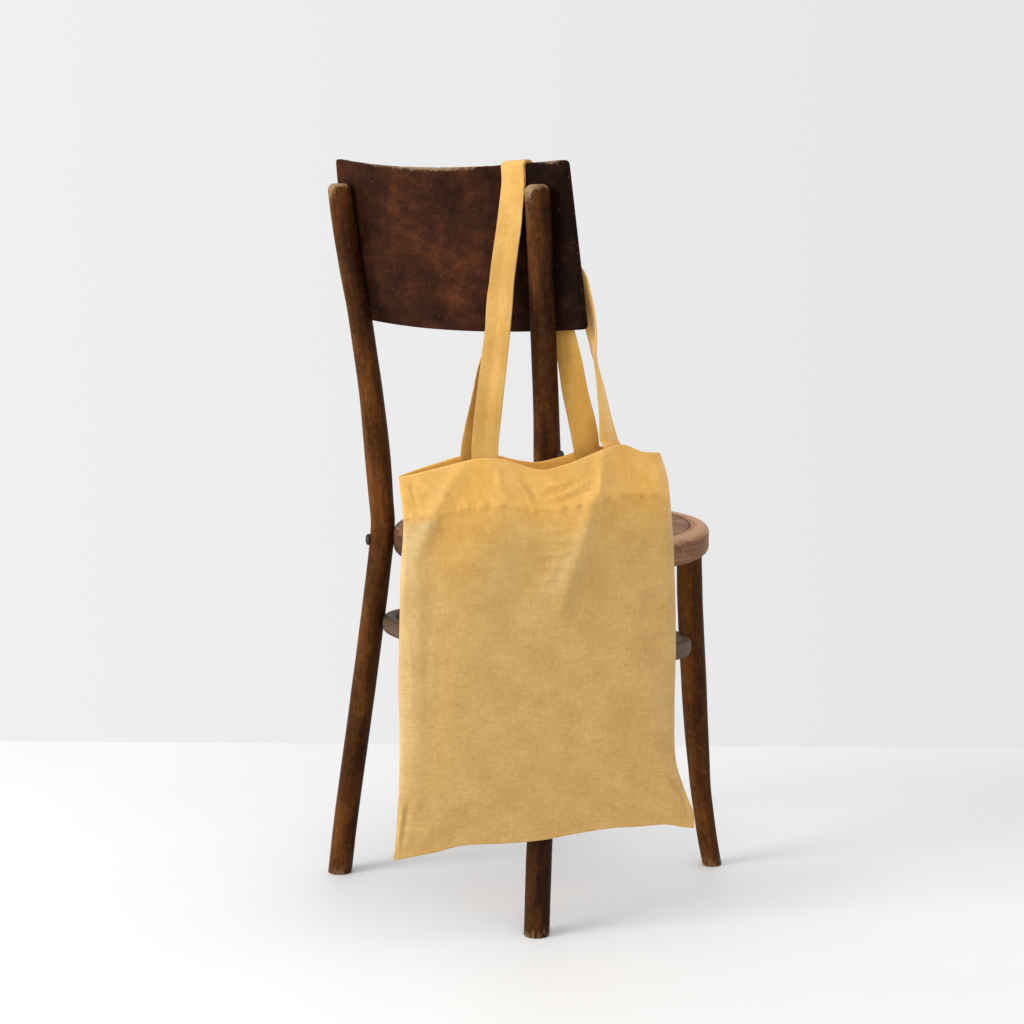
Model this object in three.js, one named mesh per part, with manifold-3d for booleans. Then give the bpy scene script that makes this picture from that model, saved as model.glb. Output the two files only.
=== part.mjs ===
// Linen tote bag hung by both handles over the corner of a bentwood chair's back.
// Millimetres, +Z up. X runs along the bag's width and the bag's front looks towards -Y.
// The floor is z = 0, and the origin is the middle of the footprint.
import * as THREE from 'three';
import { mergeVertices } from 'three/addons/utils/BufferGeometryUtils.js';
import Module from 'manifold-3d';

const wasm = await Module();
wasm.setup();

// Clearances
const TOUCH = 0.3;

// Bag
const CLOTH = 1.5;
const HEM_CLOTH = 2.4;
const HEM_STARTS = 0.885;
const HEM_STEP = 0.006;
const HANDLE_WIDTH = 30.5;
const HANDLE_THICK = 2;
const SEWN_DEPTH = 0.09;
const BAND_STEP = 14;
const PANEL_COLUMNS = 28;
const COLUMN_CROWDING = 1.3;
const SIDE_ROUNDNESS = 3;
const TOP_BEND_STARTS = 0.55;
const BOTTOM_BEND_ENDS = 0.3;
const FOLDS_START = 0.12;
const FOLD_FADE = 0.8;
const SEAM_GAP = 1.8 * TOUCH;

// Chair
const CHAIR_TURN = -60;
const SEAT_RADIUS = 194;
const SEAT_TOP = 437;
const SEAT_DEPTH = 34;
const SEAT_RING_WIDTH = 36;
const SEAT_ROUND = 9;
const PANEL_RADIUS = 170;
const PANEL_THICK = 6;
const PANEL_DROP = 0.8;
const GROOVE = 1.2;
const HOOP_RADIUS = 190.6;
const HOOP_CENTRE_Y = -25;
const HOOP_HEIGHT = 302.4;
const HOOP_SLOPE = -0.113;
const HOOP_WIDE = 16;
const HOOP_TALL = 20;
const HOOP_SIDES = 10;
const HOOP_ROUND = 0.72;
const SPLAT_THICK = 9;
const SPLAT_ROUND = 2;
const SPLAT_CORNER = 6;
const EDGE_ROWS = 6;
const LEG_SIDES = 14;
const RING_STEPS = 56;

const linen = { color: 0xd9ae5c, roughness: 0.92, metalness: 0 };
const darkWood = { color: 0x4a2a1a, roughness: 0.5, metalness: 0 };
const wornWood = { color: 0x8a6247, roughness: 0.55, metalness: 0 };
const steel = { color: 0x2c2b29, roughness: 0.45, metalness: 0.9 };

// Cubic interpolation of one column of a table whose rows are in rising order of `by`.
function read(rows, by, at, column) {
  const last = rows.length - 1;
  let k = 0;
  while (k < last - 1 && at > rows[k + 1][by]) k += 1;
  const span = rows[k + 1][by] - rows[k][by];
  const t = Math.min(1, Math.max(0, (at - rows[k][by]) / span));
  const slope = (i) => {
    const a = rows[Math.max(0, i - 1)];
    const b = rows[Math.min(last, i + 1)];
    return ((b[column] - a[column]) / (b[by] - a[by])) * span;
  };
  const t2 = t * t;
  const t3 = t2 * t;
  return rows[k][column] * (2 * t3 - 3 * t2 + 1) + slope(k) * (t3 - 2 * t2 + t)
    + rows[k + 1][column] * (3 * t2 - 2 * t3) + slope(k + 1) * (t3 - t2);
}

// Turns a triangle list into one merged body whose faces point outwards.
function body(points, triangles) {
  let volume = 0;
  const cross = new THREE.Vector3();
  for (const [a, b, c] of triangles) {
    volume += points[a].dot(cross.crossVectors(points[b], points[c]));
  }
  const indices = triangles.flatMap(([a, b, c]) => (volume > 0 ? [a, b, c] : [a, c, b]));
  const geometry = new THREE.BufferGeometry();
  const position = new Float32Array(points.flatMap((p) => [p.x, p.y, p.z]));
  geometry.setAttribute('position', new THREE.BufferAttribute(position, 3));
  geometry.setIndex(indices);
  return geometry;
}

// Joins a row of closed sections of equal point count into one capped solid.
function loft(sections) {
  const count = sections[0].length;
  const points = sections.flat();
  const triangles = [];
  for (let s = 0; s < sections.length - 1; s += 1) {
    for (let i = 0; i < count; i += 1) {
      const a = s * count + i;
      const b = s * count + ((i + 1) % count);
      triangles.push([a, b, b + count], [a, b + count, a + count]);
    }
  }
  const end = (sections.length - 1) * count;
  for (let i = 1; i < count - 1; i += 1) {
    triangles.push([0, i + 1, i], [end, end + i, end + i + 1]);
  }
  return body(points, triangles);
}

function solidOf(geometry) {
  const bare = geometry.clone();
  for (const name of Object.keys(bare.attributes)) {
    if (name !== 'position') bare.deleteAttribute(name);
  }
  const merged = mergeVertices(bare, 1e-4);
  return new wasm.Manifold(new wasm.Mesh({
    numProp: 3,
    vertProperties: new Float32Array(merged.attributes.position.array),
    triVerts: new Uint32Array(merged.index.array),
  }));
}

function cut(geometry, ...tools) {
  let solid = solidOf(geometry);
  for (const tool of tools) solid = solid.subtract(solidOf(tool));
  const mesh = solid.getMesh();
  const result = new THREE.BufferGeometry();
  result.setAttribute('position', new THREE.BufferAttribute(mesh.vertProperties, 3));
  result.setIndex(new THREE.BufferAttribute(mesh.triVerts, 1));
  return result;
}

function piece(group, name, geometry, look) {
  const mesh = new THREE.Mesh(geometry, new THREE.MeshStandardMaterial(look));
  mesh.name = name;
  group.add(mesh);
  return mesh;
}

// BAG PANELS
// One row per height up the bag, in fractions of its side seams.
// xl, zl and xr, zr are the silhouette's left and right points, yl and yr the side seams'
// depth, back the depth of the back panel's middle, and thick the bag's thickness there.
const BAG_ROWS = [
  { v: 0.00, xl: -257, zl: 104, xr: 99, zr: 113.5, yl: -254, yr: -254, back: -254.3, thick: 1.8 },
  { v: 0.04, xl: -254, zl: 122, xr: 98, zr: 131, yl: -252, yr: -252, back: -252.3, thick: 5 },
  { v: 0.10, xl: -251, zl: 149, xr: 88, zr: 159, yl: -248, yr: -248, back: -249.1, thick: 9 },
  { v: 0.18, xl: -247.5, zl: 184, xr: 79, zr: 194, yl: -243, yr: -243, back: -245.1, thick: 14 },
  { v: 0.31, xl: -244.5, zl: 239, xr: 79.5, zr: 251, yl: -237, yr: -235, back: -238.1, thick: 20 },
  { v: 0.45, xl: -245, zl: 299, xr: 82, zr: 311, yl: -233, yr: -230, back: -231.3, thick: 24 },
  { v: 0.60, xl: -243, zl: 363, xr: 82.5, zr: 375, yl: -232, yr: -226, back: -224.3, thick: 27 },
  { v: 0.75, xl: -241, zl: 427, xr: 80.5, zr: 439, yl: -232, yr: -223, back: -222.0, thick: 28 },
  { v: 0.87, xl: -238, zl: 478, xr: 77.5, zr: 491, yl: -234, yr: -219, back: -221.5, thick: 28 },
  { v: 0.94, xl: -240.5, zl: 508, xr: 74, zr: 521, yl: -236, yr: -217, back: -221.7, thick: 29 },
  { v: 1.00, xl: -244, zl: 533, xr: 66, zr: 547, yl: -238, yr: -215, back: -222.1, thick: 30 },
];

// How far the top edges stand above, and the bottom edge below, a straight line from
// seam to seam. u is -1 at the left seam and 1 at the right one.
const TOP_EDGE = [
  { u: -1.00, front: 0, back: 0 },
  { u: -0.72, front: 8, back: 9.5 },
  { u: -0.45, front: 15, back: 17 },
  { u: -0.25, front: 12, back: 13 },
  { u: -0.15, front: 6, back: 8 },
  { u: 0.03, front: -3, back: 2 },
  { u: 0.21, front: 0.5, back: 5 },
  { u: 0.37, front: 8, back: 11 },
  { u: 0.51, front: 15, back: 14 },
  { u: 0.66, front: 16.5, back: 10 },
  { u: 0.83, front: 5.5, back: 4 },
  { u: 1.00, front: 0, back: 0 },
];
const BOTTOM_EDGE = [
  { u: -1.00, rise: 0 },
  { u: -0.75, rise: 4 },
  { u: -0.55, rise: 8.8 },
  { u: -0.25, rise: 5.8 },
  { u: 0.00, rise: 5.7 },
  { u: 0.16, rise: 8.4 },
  { u: 0.45, rise: 10.8 },
  { u: 0.60, rise: 9.2 },
  { u: 0.80, rise: 8.2 },
  { u: 0.92, rise: 2.8 },
  { u: 1.00, rise: 0 },
];

// Soft folds of each panel: a ridge from (x0, z0) to (x1, z1), highest at its middle, out
// of the bag where high is above 0 and into it below. bow is how far the line bends sideways
// at its middle, and lean is how steeply the cloth falls away on the line's right.
const FOLDS = {
  front: [
    { x0: -164, z0: 558, x1: -229, z1: 432, wide: 9, high: 6.0, lean: 0.08, reach: 34, bow: 8 },
    { x0: -180, z0: 548, x1: -238, z1: 430, wide: 17, high: 2.5 },
    { x0: -226, z0: 440, x1: -232, z1: 200, wide: 10, high: 2.8 },
    { x0: -207, z0: 455, x1: -214, z1: 190, wide: 11, high: -2.0 },
    { x0: -10, z0: 585, x1: -18, z1: 490, wide: 8, high: 3.5 },
    { x0: -9, z0: 544, x1: -70, z1: 358, wide: 13, high: 8.5, lean: 0.06, reach: 110 },
    { x0: -30, z0: 520, x1: -96, z1: 356, wide: 18, high: 2.6 },
    { x0: 28, z0: 640, x1: 38, z1: 400, wide: 27, high: -7 },
    { x0: 58, z0: 575, x1: 72, z1: 440, wide: 10, high: 4 },
    { x0: 44, z0: 480, x1: 60, z1: 230, wide: 14, high: -2.0 },
    { x0: 60, z0: 190, x1: 94, z1: 124, wide: 9, high: 3 },
    { x0: -228, z0: 180, x1: -252, z1: 112, wide: 9, high: 3 },
  ],
  back: [
    { x0: -160, z0: 545, x1: -222, z1: 420, wide: 16, high: 4 },
    { x0: 8, z0: 535, x1: 52, z1: 400, wide: 14, high: 4 },
    { x0: -190, z0: 430, x1: -205, z1: 200, wide: 13, high: 3 },
    { x0: 20, z0: 400, x1: 40, z1: 190, wide: 14, high: 3 },
  ],
};

function foldHeight(side, x, z) {
  let high = 0;
  for (const { x0, z0, x1, z1, wide, high: most, lean = 0, reach = 1, bow = 0 } of FOLDS[side]) {
    const dx = x1 - x0;
    const dz = z1 - z0;
    const size = Math.hypot(dx, dz);
    const held = Math.min(1, Math.max(0, ((x - x0) * dx + (z - z0) * dz) / size ** 2));
    const bent = bow * Math.sin(Math.PI * held);
    const offX = x - x0 - held * dx - (bent * dz) / size;
    const offZ = z - z0 - held * dz + (bent * dx) / size;
    const share = Math.sin(Math.PI * held) ** FOLD_FADE;
    high += most * share * Math.exp(-((Math.hypot(offX, offZ) / wide) ** 2));
    const right = Math.max(0, (offZ * dx - offX * dz) / size) / reach;
    high -= lean * share * reach * (1 - Math.exp(-right)) * Math.exp(-right / 2);
  }
  return high;
}

// A point on the middle of a panel's cloth: u across from -1 to 1, v up from 0 to 1.
function panelPoint(side, u, v) {
  const row = (column) => read(BAG_ROWS, 'v', v, column);
  const across = (u + 1) / 2;
  const x = row('xl') + (row('xr') - row('xl')) * across;
  const topShare = Math.max(0, (v - TOP_BEND_STARTS) / (1 - TOP_BEND_STARTS)) ** 2;
  const bottomShare = Math.max(0, 1 - v / BOTTOM_BEND_ENDS) ** 2;
  const z = row('zl') + (row('zr') - row('zl')) * across
    + read(TOP_EDGE, 'u', u, side) * topShare
    + read(BOTTOM_EDGE, 'u', u, 'rise') * bottomShare;
  const full = Math.sqrt(Math.max(0, 1 - Math.abs(u) ** SIDE_ROUNDNESS));
  const seam = row('yl') + (row('yr') - row('yl')) * across;
  const middle = row('back') - row('thick') / 2;
  const sheet = seam * (1 - full) + middle * full;
  const least = (CLOTH + SEAM_GAP) / 2;
  const closed = Math.min(1, v / FOLDS_START);
  const depth = least + Math.max(0, row('thick') / 2 - least) * full
    + foldHeight(side, x, z) * full * closed;
  return new THREE.Vector3(x, sheet + (side === 'front' ? -depth : depth), z);
}

function panelNormal(side, u, v) {
  const step = 0.01;
  const u0 = Math.max(-1, u - step);
  const u1 = Math.min(1, u + step);
  const v0 = Math.max(0, v - step);
  const v1 = Math.min(1, v + step);
  const across = panelPoint(side, u1, v).sub(panelPoint(side, u0, v));
  const up = panelPoint(side, u, v1).sub(panelPoint(side, u, v0));
  const normal = across.cross(up).normalize();
  return normal.y < 0 ? normal : normal.negate();
}

// One cloth panel: a grid on each face, joined round the edge. The hem is its thick top.
function panel(side) {
  const columns = [];
  for (let i = 0; i <= PANEL_COLUMNS; i += 1) {
    const k = (2 * i) / PANEL_COLUMNS - 1;
    columns.push(Math.sign(k) * (1 - (1 - Math.abs(k)) ** COLUMN_CROWDING));
  }
  const heights = [0, 0.03, 0.065, 0.11, 0.17, 0.24, 0.32, 0.4, 0.48, 0.56, 0.64, 0.71, 0.78,
    0.84, HEM_STARTS - HEM_STEP, HEM_STARTS, 0.92, 0.96, 1];
  const points = [];
  const triangles = [];
  for (const face of [1, -1]) {
    for (const v of heights) {
      const thick = v < HEM_STARTS ? CLOTH : HEM_CLOTH;
      for (const u of columns) {
        const half = (Math.abs(u) === 1 ? CLOTH : thick) / 2;
        const normal = panelNormal(side, u, v);
        points.push(panelPoint(side, u, v).addScaledVector(normal, face * half));
      }
    }
  }
  const wide = columns.length;
  const tall = heights.length;
  const far = wide * tall;
  for (let j = 0; j < tall - 1; j += 1) {
    for (let i = 0; i < wide - 1; i += 1) {
      const a = j * wide + i;
      triangles.push([a, a + 1, a + wide + 1], [a, a + wide + 1, a + wide]);
      const b = far + a;
      triangles.push([b, b + wide + 1, b + 1], [b, b + wide, b + wide + 1]);
    }
  }
  const rim = [];
  for (let i = 0; i < wide - 1; i += 1) rim.push(i);
  for (let j = 0; j < tall - 1; j += 1) rim.push(j * wide + wide - 1);
  for (let i = wide - 1; i > 0; i -= 1) rim.push((tall - 1) * wide + i);
  for (let j = tall - 1; j > 0; j -= 1) rim.push(j * wide);
  rim.forEach((a, i) => {
    const b = rim[(i + 1) % rim.length];
    triangles.push([b, a, far + a], [b, far + a, far + b]);
  });
  return body(points, triangles);
}

// HANDLES
// Each handle is one flat band over the top edge of the chair's back board. The rows of
// rise and fall are free stretches: the middle of the band, and turn, the compass direction
// of its width in degrees. over and under lie on the board: across is the chair's own X,
// before the top edge on the rear face and after it on the seat face. lift is the band's
// clearance from the board, where the front handle lies on the back one.
const FRONT_HANDLE = {
  side: 'front',
  left: { u: -0.388, turn: 180 },
  right: { u: 0.59, turn: 0, twist: 15 },
  lift: 6 * TOUCH + HANDLE_THICK,
  rise: [
    { x: -147.7, y: -246.4, z: 570, turn: 176 },
    { x: -144.2, y: -244.8, z: 602, turn: 163 },
    { x: -137.0, y: -239.5, z: 653, turn: 147 },
    { x: -129.9, y: -233.0, z: 700, turn: 138 },
    { x: -122.9, y: -226.5, z: 756, turn: 137 },
    { x: -112.9, y: -219.5, z: 810, turn: 138 },
  ],
  over: [{ across: 125.0, z: 856 }, { across: 125.6, z: 868 }],
  under: [
    { across: 128.0, z: 866 },
    { across: 137.6, z: 850 },
    { across: 150.0, z: 820 },
    { across: 162.2, z: 790 },
    { across: 173.0, z: 765 },
  ],
  fall: [
    { x: -38.7, y: -234.0, z: 746, turn: 122 },
    { x: -28.4, y: -235.3, z: 713, turn: 109 },
    { x: -24.0, y: -235.8, z: 696, turn: 100 },
    { x: -21.2, y: -236.3, z: 679, turn: 90 },
    { x: -19.5, y: -237.2, z: 657, turn: 75 },
    { x: -14.2, y: -239.0, z: 634.5, turn: 62 },
    { x: -10.5, y: -241.0, z: 612, turn: 54 },
    { x: -6.8, y: -241.5, z: 588.5, turn: 46 },
    { x: -1.4, y: -237.5, z: 566.5, turn: 33 },
  ],
};
const BACK_HANDLE = {
  side: 'back',
  left: { u: -0.43, turn: 0 },
  right: { u: 0.42, turn: 180 },
  lift: 3 * TOUCH,
  rise: [
    { x: -150.5, y: -221.8, z: 586, turn: 14 },
    { x: -144.5, y: -219.0, z: 618, turn: 28 },
    { x: -141.4, y: -214.5, z: 652, turn: 54 },
    { x: -133.5, y: -208.5, z: 690, turn: 88 },
    { x: -125.0, y: -207.6, z: 730, turn: 113 },
    { x: -113.8, y: -207.4, z: 775, turn: 126 },
  ],
  over: [{ across: 125.0, z: 852 }, { across: 125.6, z: 868 }],
  under: [
    { across: 128.0, z: 866 },
    { across: 132.8, z: 850 },
    { across: 139.6, z: 820 },
    { across: 146.2, z: 790 },
    { across: 152.0, z: 763 },
    { across: 158.4, z: 730 },
    { across: 163.8, z: 700 },
  ],
  fall: [
    { x: -42.8, y: -220.4, z: 655, turn: 138 },
    { x: -36.8, y: -221.6, z: 620, turn: 146 },
    { x: -30.2, y: -222.8, z: 592, turn: 155 },
    { x: -26.4, y: -223.8, z: 572, turn: 168 },
  ],
};

// A row of a band that lies on the board, its width along the board's edge. side is -1 on
// the rear face, 1 on the seat face and in between over the top edge.
function boardRow(across, z, side, lift) {
  const { share, up } = boardShares(across, z);
  const at = splatPoint(share, up);
  const width = at.clone().sub(splatPoint(share + 0.01, up)).normalize();
  const out = new THREE.Vector3(width.y, -width.x, 0).normalize();
  at.addScaledVector(out, side * (SPLAT_THICK / 2 + lift + HANDLE_THICK / 2));
  at.z = z;
  const upright = new THREE.Vector3(0, 0, 1);
  const turn = THREE.MathUtils.degToRad(CHAIR_TURN);
  return { at: at.applyAxisAngle(upright, turn), width: width.applyAxisAngle(upright, turn) };
}

function boardRows({ over, under, lift }) {
  const off = lift + HANDLE_THICK / 2;
  const rear = over[over.length - 1].across;
  const front = under[0].across;
  const rows = over.map((row) => boardRow(row.across, row.z, -1, lift));
  for (let i = 0; i <= EDGE_ROWS; i += 1) {
    const share = i / EDGE_ROWS;
    const angle = Math.PI * (share - 0.5);
    const across = rear + (front - rear) * share;
    const top = splatPoint(across / SPLAT.top.right, 1).z - SPLAT_ROUND;
    const z = top + (SPLAT_ROUND + off) * Math.cos(angle);
    rows.push(boardRow(across, z, Math.sin(angle), lift));
  }
  return rows.concat(under.map((row) => boardRow(row.across, row.z, 1, lift)));
}

// The sewn ends lie on the inner face of the hem, clear of the folds behind the band. A twist
// turns the band about its middle where it leaves the hem.
function sewnRow(side, end, v) {
  const twist = (end.twist ?? 0) * Math.max(0, (v - 1 + SEWN_DEPTH) / SEWN_DEPTH) ** 2;
  const inward = side === 'front' ? -1 : 1;
  const reach = HANDLE_WIDTH / (read(BAG_ROWS, 'v', 1, 'xr') - read(BAG_ROWS, 'v', 1, 'xl'));
  const middle = panelPoint(side, end.u, v);
  const across = panelPoint(side, end.u + reach, v).sub(panelPoint(side, end.u - reach, v));
  const inner = new THREE.Vector3(across.y, -across.x, 0).normalize().multiplyScalar(inward);
  let deepest = 0;
  for (let i = -4; i <= 4; i += 1) {
    const off = panelPoint(side, end.u + (reach * i) / 4, v).sub(middle).dot(inner);
    deepest = Math.max(deepest, off);
  }
  const angle = THREE.MathUtils.radToDeg(Math.atan2(across.y, across.x));
  const off = (HEM_CLOTH + HANDLE_THICK) / 2 + 6 * TOUCH + deepest
    + (HANDLE_WIDTH / 2) * Math.sin(THREE.MathUtils.degToRad(twist));
  const at = middle.clone().addScaledVector(panelNormal(side, end.u, v), inward * off);
  return freeRow({ x: at.x, y: at.y, z: at.z, turn: end.turn + angle + twist });
}

function freeRow({ x, y, z, turn }) {
  const angle = THREE.MathUtils.degToRad(turn);
  return {
    at: new THREE.Vector3(x, y, z),
    width: new THREE.Vector3(Math.cos(angle), Math.sin(angle), 0),
  };
}

function band(handle) {
  const { side, left, right } = handle;
  const low = 1 - SEWN_DEPTH;
  const rows = [
    sewnRow(side, left, low), sewnRow(side, left, 1 - SEWN_DEPTH / 2), sewnRow(side, left, 1),
    ...handle.rise.map(freeRow), ...boardRows(handle), ...handle.fall.map(freeRow),
    sewnRow(side, right, 1), sewnRow(side, right, 1 - SEWN_DEPTH / 2), sewnRow(side, right, low),
  ];
  const curve = new THREE.CatmullRomCurve3(rows.map((row) => row.at), false, 'centripetal');
  const sections = [];
  for (let k = 0; k < rows.length - 1; k += 1) {
    const steps = Math.max(1, Math.round(rows[k].at.distanceTo(rows[k + 1].at) / BAND_STEP));
    const last = k === rows.length - 2;
    for (let s = 0; s < steps + (last ? 1 : 0); s += 1) {
      const share = s / steps;
      const t = (k + share) / (rows.length - 1);
      const centre = curve.getPoint(t);
      const width = rows[k].width.clone().lerp(rows[k + 1].width, share).normalize();
      const face = curve.getTangent(t).cross(width);
      const half = HANDLE_WIDTH / 2 / face.length();
      face.normalize();
      sections.push([[1, 1], [-1, 1], [-1, -1], [1, -1]].map(([a, b]) => centre.clone()
        .addScaledVector(width, a * half)
        .addScaledVector(face, (b * HANDLE_THICK) / 2)));
    }
  }
  return loft(sections);
}

// CHAIR, with its own X to the right as seen from behind and Y towards its front
const REAR_LEG = [
  { z: 0, x: 171.3, y: -202.0, d: 29.6 },
  { z: 80, x: 166.0, y: -193.2, d: 29.8 },
  { z: 200, x: 157.4, y: -177.6, d: 30.0 },
  { z: 320, x: 149.0, y: -162.8, d: 30.0 },
  { z: 400, x: 144.0, y: -153.4, d: 30.0 },
  { z: 437, x: 142.4, y: -150.4, d: 29.8 },
  { z: 470, x: 142.9, y: -152.6, d: 30.4 },
  { z: 510, x: 143.9, y: -155.4, d: 31.6 },
  { z: 545, x: 145.0, y: -158.2, d: 31.2 },
  { z: 600, x: 147.8, y: -162.9, d: 29.4 },
  { z: 700, x: 154.2, y: -175.3, d: 28.8 },
  { z: 740, x: 157.9, y: -181.4, d: 28.8 },
  { z: 780, x: 161.2, y: -187.1, d: 28.8 },
  { z: 815, x: 163.5, y: -191.4, d: 28.8 },
  { z: 846, x: 165.0, y: -194.8, d: 28.4 },
  { z: 850, x: 165.2, y: -195.2, d: 25.0 },
  { z: 852, x: 165.2, y: -195.4, d: 18.0 },
];
const FRONT_LEG = [
  { z: 0, x: 140.6, y: 148.2, d: 24.4 },
  { z: 30, x: 136.5, y: 144.2, d: 24.8 },
  { z: 60, x: 133.0, y: 141.2, d: 25.2 },
  { z: 100, x: 128.4, y: 138.2, d: 26.2 },
  { z: 130, x: 126.0, y: 137.2, d: 27.8 },
  { z: 180, x: 122.6, y: 135.2, d: 30.4 },
  { z: 250, x: 118.8, y: 133.0, d: 32.0 },
  { z: 330, x: 114.8, y: 130.6, d: 32.0 },
  { z: SEAT_TOP - SEAT_DEPTH - TOUCH, x: 112.8, y: 129.8, d: 31.4 },
];

function leg(rows, mirror) {
  return loft(rows.map((row) => {
    const section = [];
    for (let i = 0; i < LEG_SIDES; i += 1) {
      const angle = (2 * Math.PI * i) / LEG_SIDES;
      const x = row.x + (row.d / 2) * Math.cos(angle);
      section.push(new THREE.Vector3(mirror * x, row.y + (row.d / 2) * Math.sin(angle), row.z));
    }
    return section;
  }));
}

// A closed profile of [radius, height] points turned about the chair's upright axis
function turned(profile) {
  const points = profile.map(([radius, height]) => new THREE.Vector2(radius, height));
  if (THREE.ShapeUtils.area(points) < 0) points.reverse();
  const geometry = new THREE.LatheGeometry(points, RING_STEPS);
  geometry.rotateX(Math.PI / 2);
  return geometry;
}

function seatRing(grow) {
  const outer = SEAT_RADIUS + grow;
  const top = SEAT_TOP + grow;
  const low = SEAT_TOP - SEAT_DEPTH - grow;
  const inner = SEAT_RADIUS - SEAT_RING_WIDTH - grow;
  const rebate = PANEL_RADIUS + GROOVE - grow;
  const ledge = SEAT_TOP - PANEL_DROP - PANEL_THICK - TOUCH + grow;
  return turned([
    [outer, low + SEAT_ROUND], [outer - SEAT_ROUND * 0.3, low + SEAT_ROUND * 0.3],
    [outer - SEAT_ROUND, low], [inner, low], [inner, ledge], [rebate, ledge], [rebate, top],
    [outer - SEAT_ROUND, top], [outer - SEAT_ROUND * 0.3, top - SEAT_ROUND * 0.3],
    [outer, top - SEAT_ROUND], [outer, low + SEAT_ROUND],
  ]);
}

function hoop(grow) {
  const wide = HOOP_WIDE / 2 + grow;
  const tall = HOOP_TALL / 2 + grow;
  const profile = [];
  const bulge = (value) => Math.sign(value) * Math.abs(value) ** HOOP_ROUND;
  for (let i = 0; i <= HOOP_SIDES; i += 1) {
    const angle = (2 * Math.PI * (i % HOOP_SIDES)) / HOOP_SIDES;
    profile.push([
      HOOP_RADIUS - HOOP_WIDE / 2 + wide * bulge(Math.cos(angle)),
      tall * bulge(Math.sin(angle)),
    ]);
  }
  const geometry = turned(profile);
  geometry.rotateX(Math.atan(HOOP_SLOPE));
  geometry.translate(0, HOOP_CENTRE_Y, HOOP_HEIGHT);
  return geometry;
}

// The back panel is one bent board: across from -1 to 1, and up from 0 to 1. tilt is how much
// an edge rises from its middle to its right end.
const SPLAT = {
  bottom: { left: 197.8, right: 199.8, midY: -176.2, endY: -152.0, midZ: 683.9, endZ: 692.4, tilt: 0 },
  top: { left: 190.8, right: 190.8, midY: -198.7, endY: -174.4, midZ: 870.7, endZ: 880.3, tilt: -1.3 },
};

function splatPoint(across, up) {
  const mix = (key) => SPLAT.bottom[key] + (SPLAT.top[key] - SPLAT.bottom[key]) * up;
  const bow = across * across;
  return new THREE.Vector3(
    mix(across < 0 ? 'left' : 'right') * across,
    mix('midY') + (mix('endY') - mix('midY')) * bow,
    mix('midZ') + (mix('endZ') - mix('midZ')) * bow + mix('tilt') * across,
  );
}

// Shares across and up of the point of the board's right half at a distance across and height
function boardShares(across, z) {
  let share = across / SPLAT.top.right;
  let up = 0;
  for (let round = 0; round < 4; round += 1) {
    const low = splatPoint(share, 0).z;
    up = (z - low) / (splatPoint(share, 1).z - low);
    share = across / (SPLAT.bottom.right + (SPLAT.top.right - SPLAT.bottom.right) * up);
  }
  return { share, up };
}

function splat(grow) {
  const stations = [-1, -0.99, -0.97];
  for (let i = 0; i <= 16; i += 1) stations.push(-0.94 + (1.88 * i) / 16);
  stations.push(0.97, 0.99, 1);
  const half = SPLAT_THICK / 2 + grow;
  const tall = SPLAT.top.midZ - SPLAT.bottom.midZ;
  return loft(stations.map((across) => {
    const toEnd = (1 - Math.abs(across)) * SPLAT.top.right;
    const corner = Math.max(0, SPLAT_CORNER - toEnd);
    const inset = SPLAT_CORNER - Math.sqrt(Math.max(0, SPLAT_CORNER ** 2 - corner ** 2));
    const low = (inset - grow) / tall;
    const high = 1 - (inset - grow) / tall;
    const edge = SPLAT_ROUND / tall;
    const end = across * (1 + grow / SPLAT.top.right);
    return [
      [low, -half + SPLAT_ROUND], [low, half - SPLAT_ROUND], [low + edge, half],
      [high - edge, half], [high, half - SPLAT_ROUND], [high, -half + SPLAT_ROUND],
      [high - edge, -half], [low + edge, -half],
    ].map(([up, off]) => splatPoint(end, up).add(new THREE.Vector3(0, off, 0)));
  }));
}

// A domed bolt head whose shank side faces the point `into`
function boltHead(at, into, radius, high) {
  const geometry = new THREE.LatheGeometry([
    new THREE.Vector2(0, 0), new THREE.Vector2(radius, 0), new THREE.Vector2(radius, high * 0.35),
    new THREE.Vector2(radius * 0.62, high * 0.85), new THREE.Vector2(0, high),
  ], 12);
  const away = at.clone().sub(into).normalize();
  const up = new THREE.Vector3(0, 1, 0);
  geometry.applyQuaternion(new THREE.Quaternion().setFromUnitVectors(up, away));
  geometry.translate(at.x, at.y, at.z);
  return geometry;
}

// A bolt head seated on a rear leg, on the side that the compass direction names. The leg
// leans, so clear is the gap at the middle of the head.
function legBolt(mirror, height, direction, clear, radius, high) {
  const x = mirror * read(REAR_LEG, 'z', height, 'x');
  const y = read(REAR_LEG, 'z', height, 'y');
  const reach = read(REAR_LEG, 'z', height, 'd') / 2 + clear;
  const angle = THREE.MathUtils.degToRad(direction);
  const out = new THREE.Vector3(Math.cos(angle), Math.sin(angle), 0);
  const axis = new THREE.Vector3(x, y, height);
  return boltHead(axis.clone().addScaledVector(out, reach), axis, radius, high);
}

const whole = new THREE.Group();

const bag = new THREE.Group();
piece(bag, 'bag_front', panel('front'), linen);
piece(bag, 'bag_back', panel('back'), linen);
piece(bag, 'handle_front', band(FRONT_HANDLE), linen);
piece(bag, 'handle_back', band(BACK_HANDLE), linen);
whole.add(bag);

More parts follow.
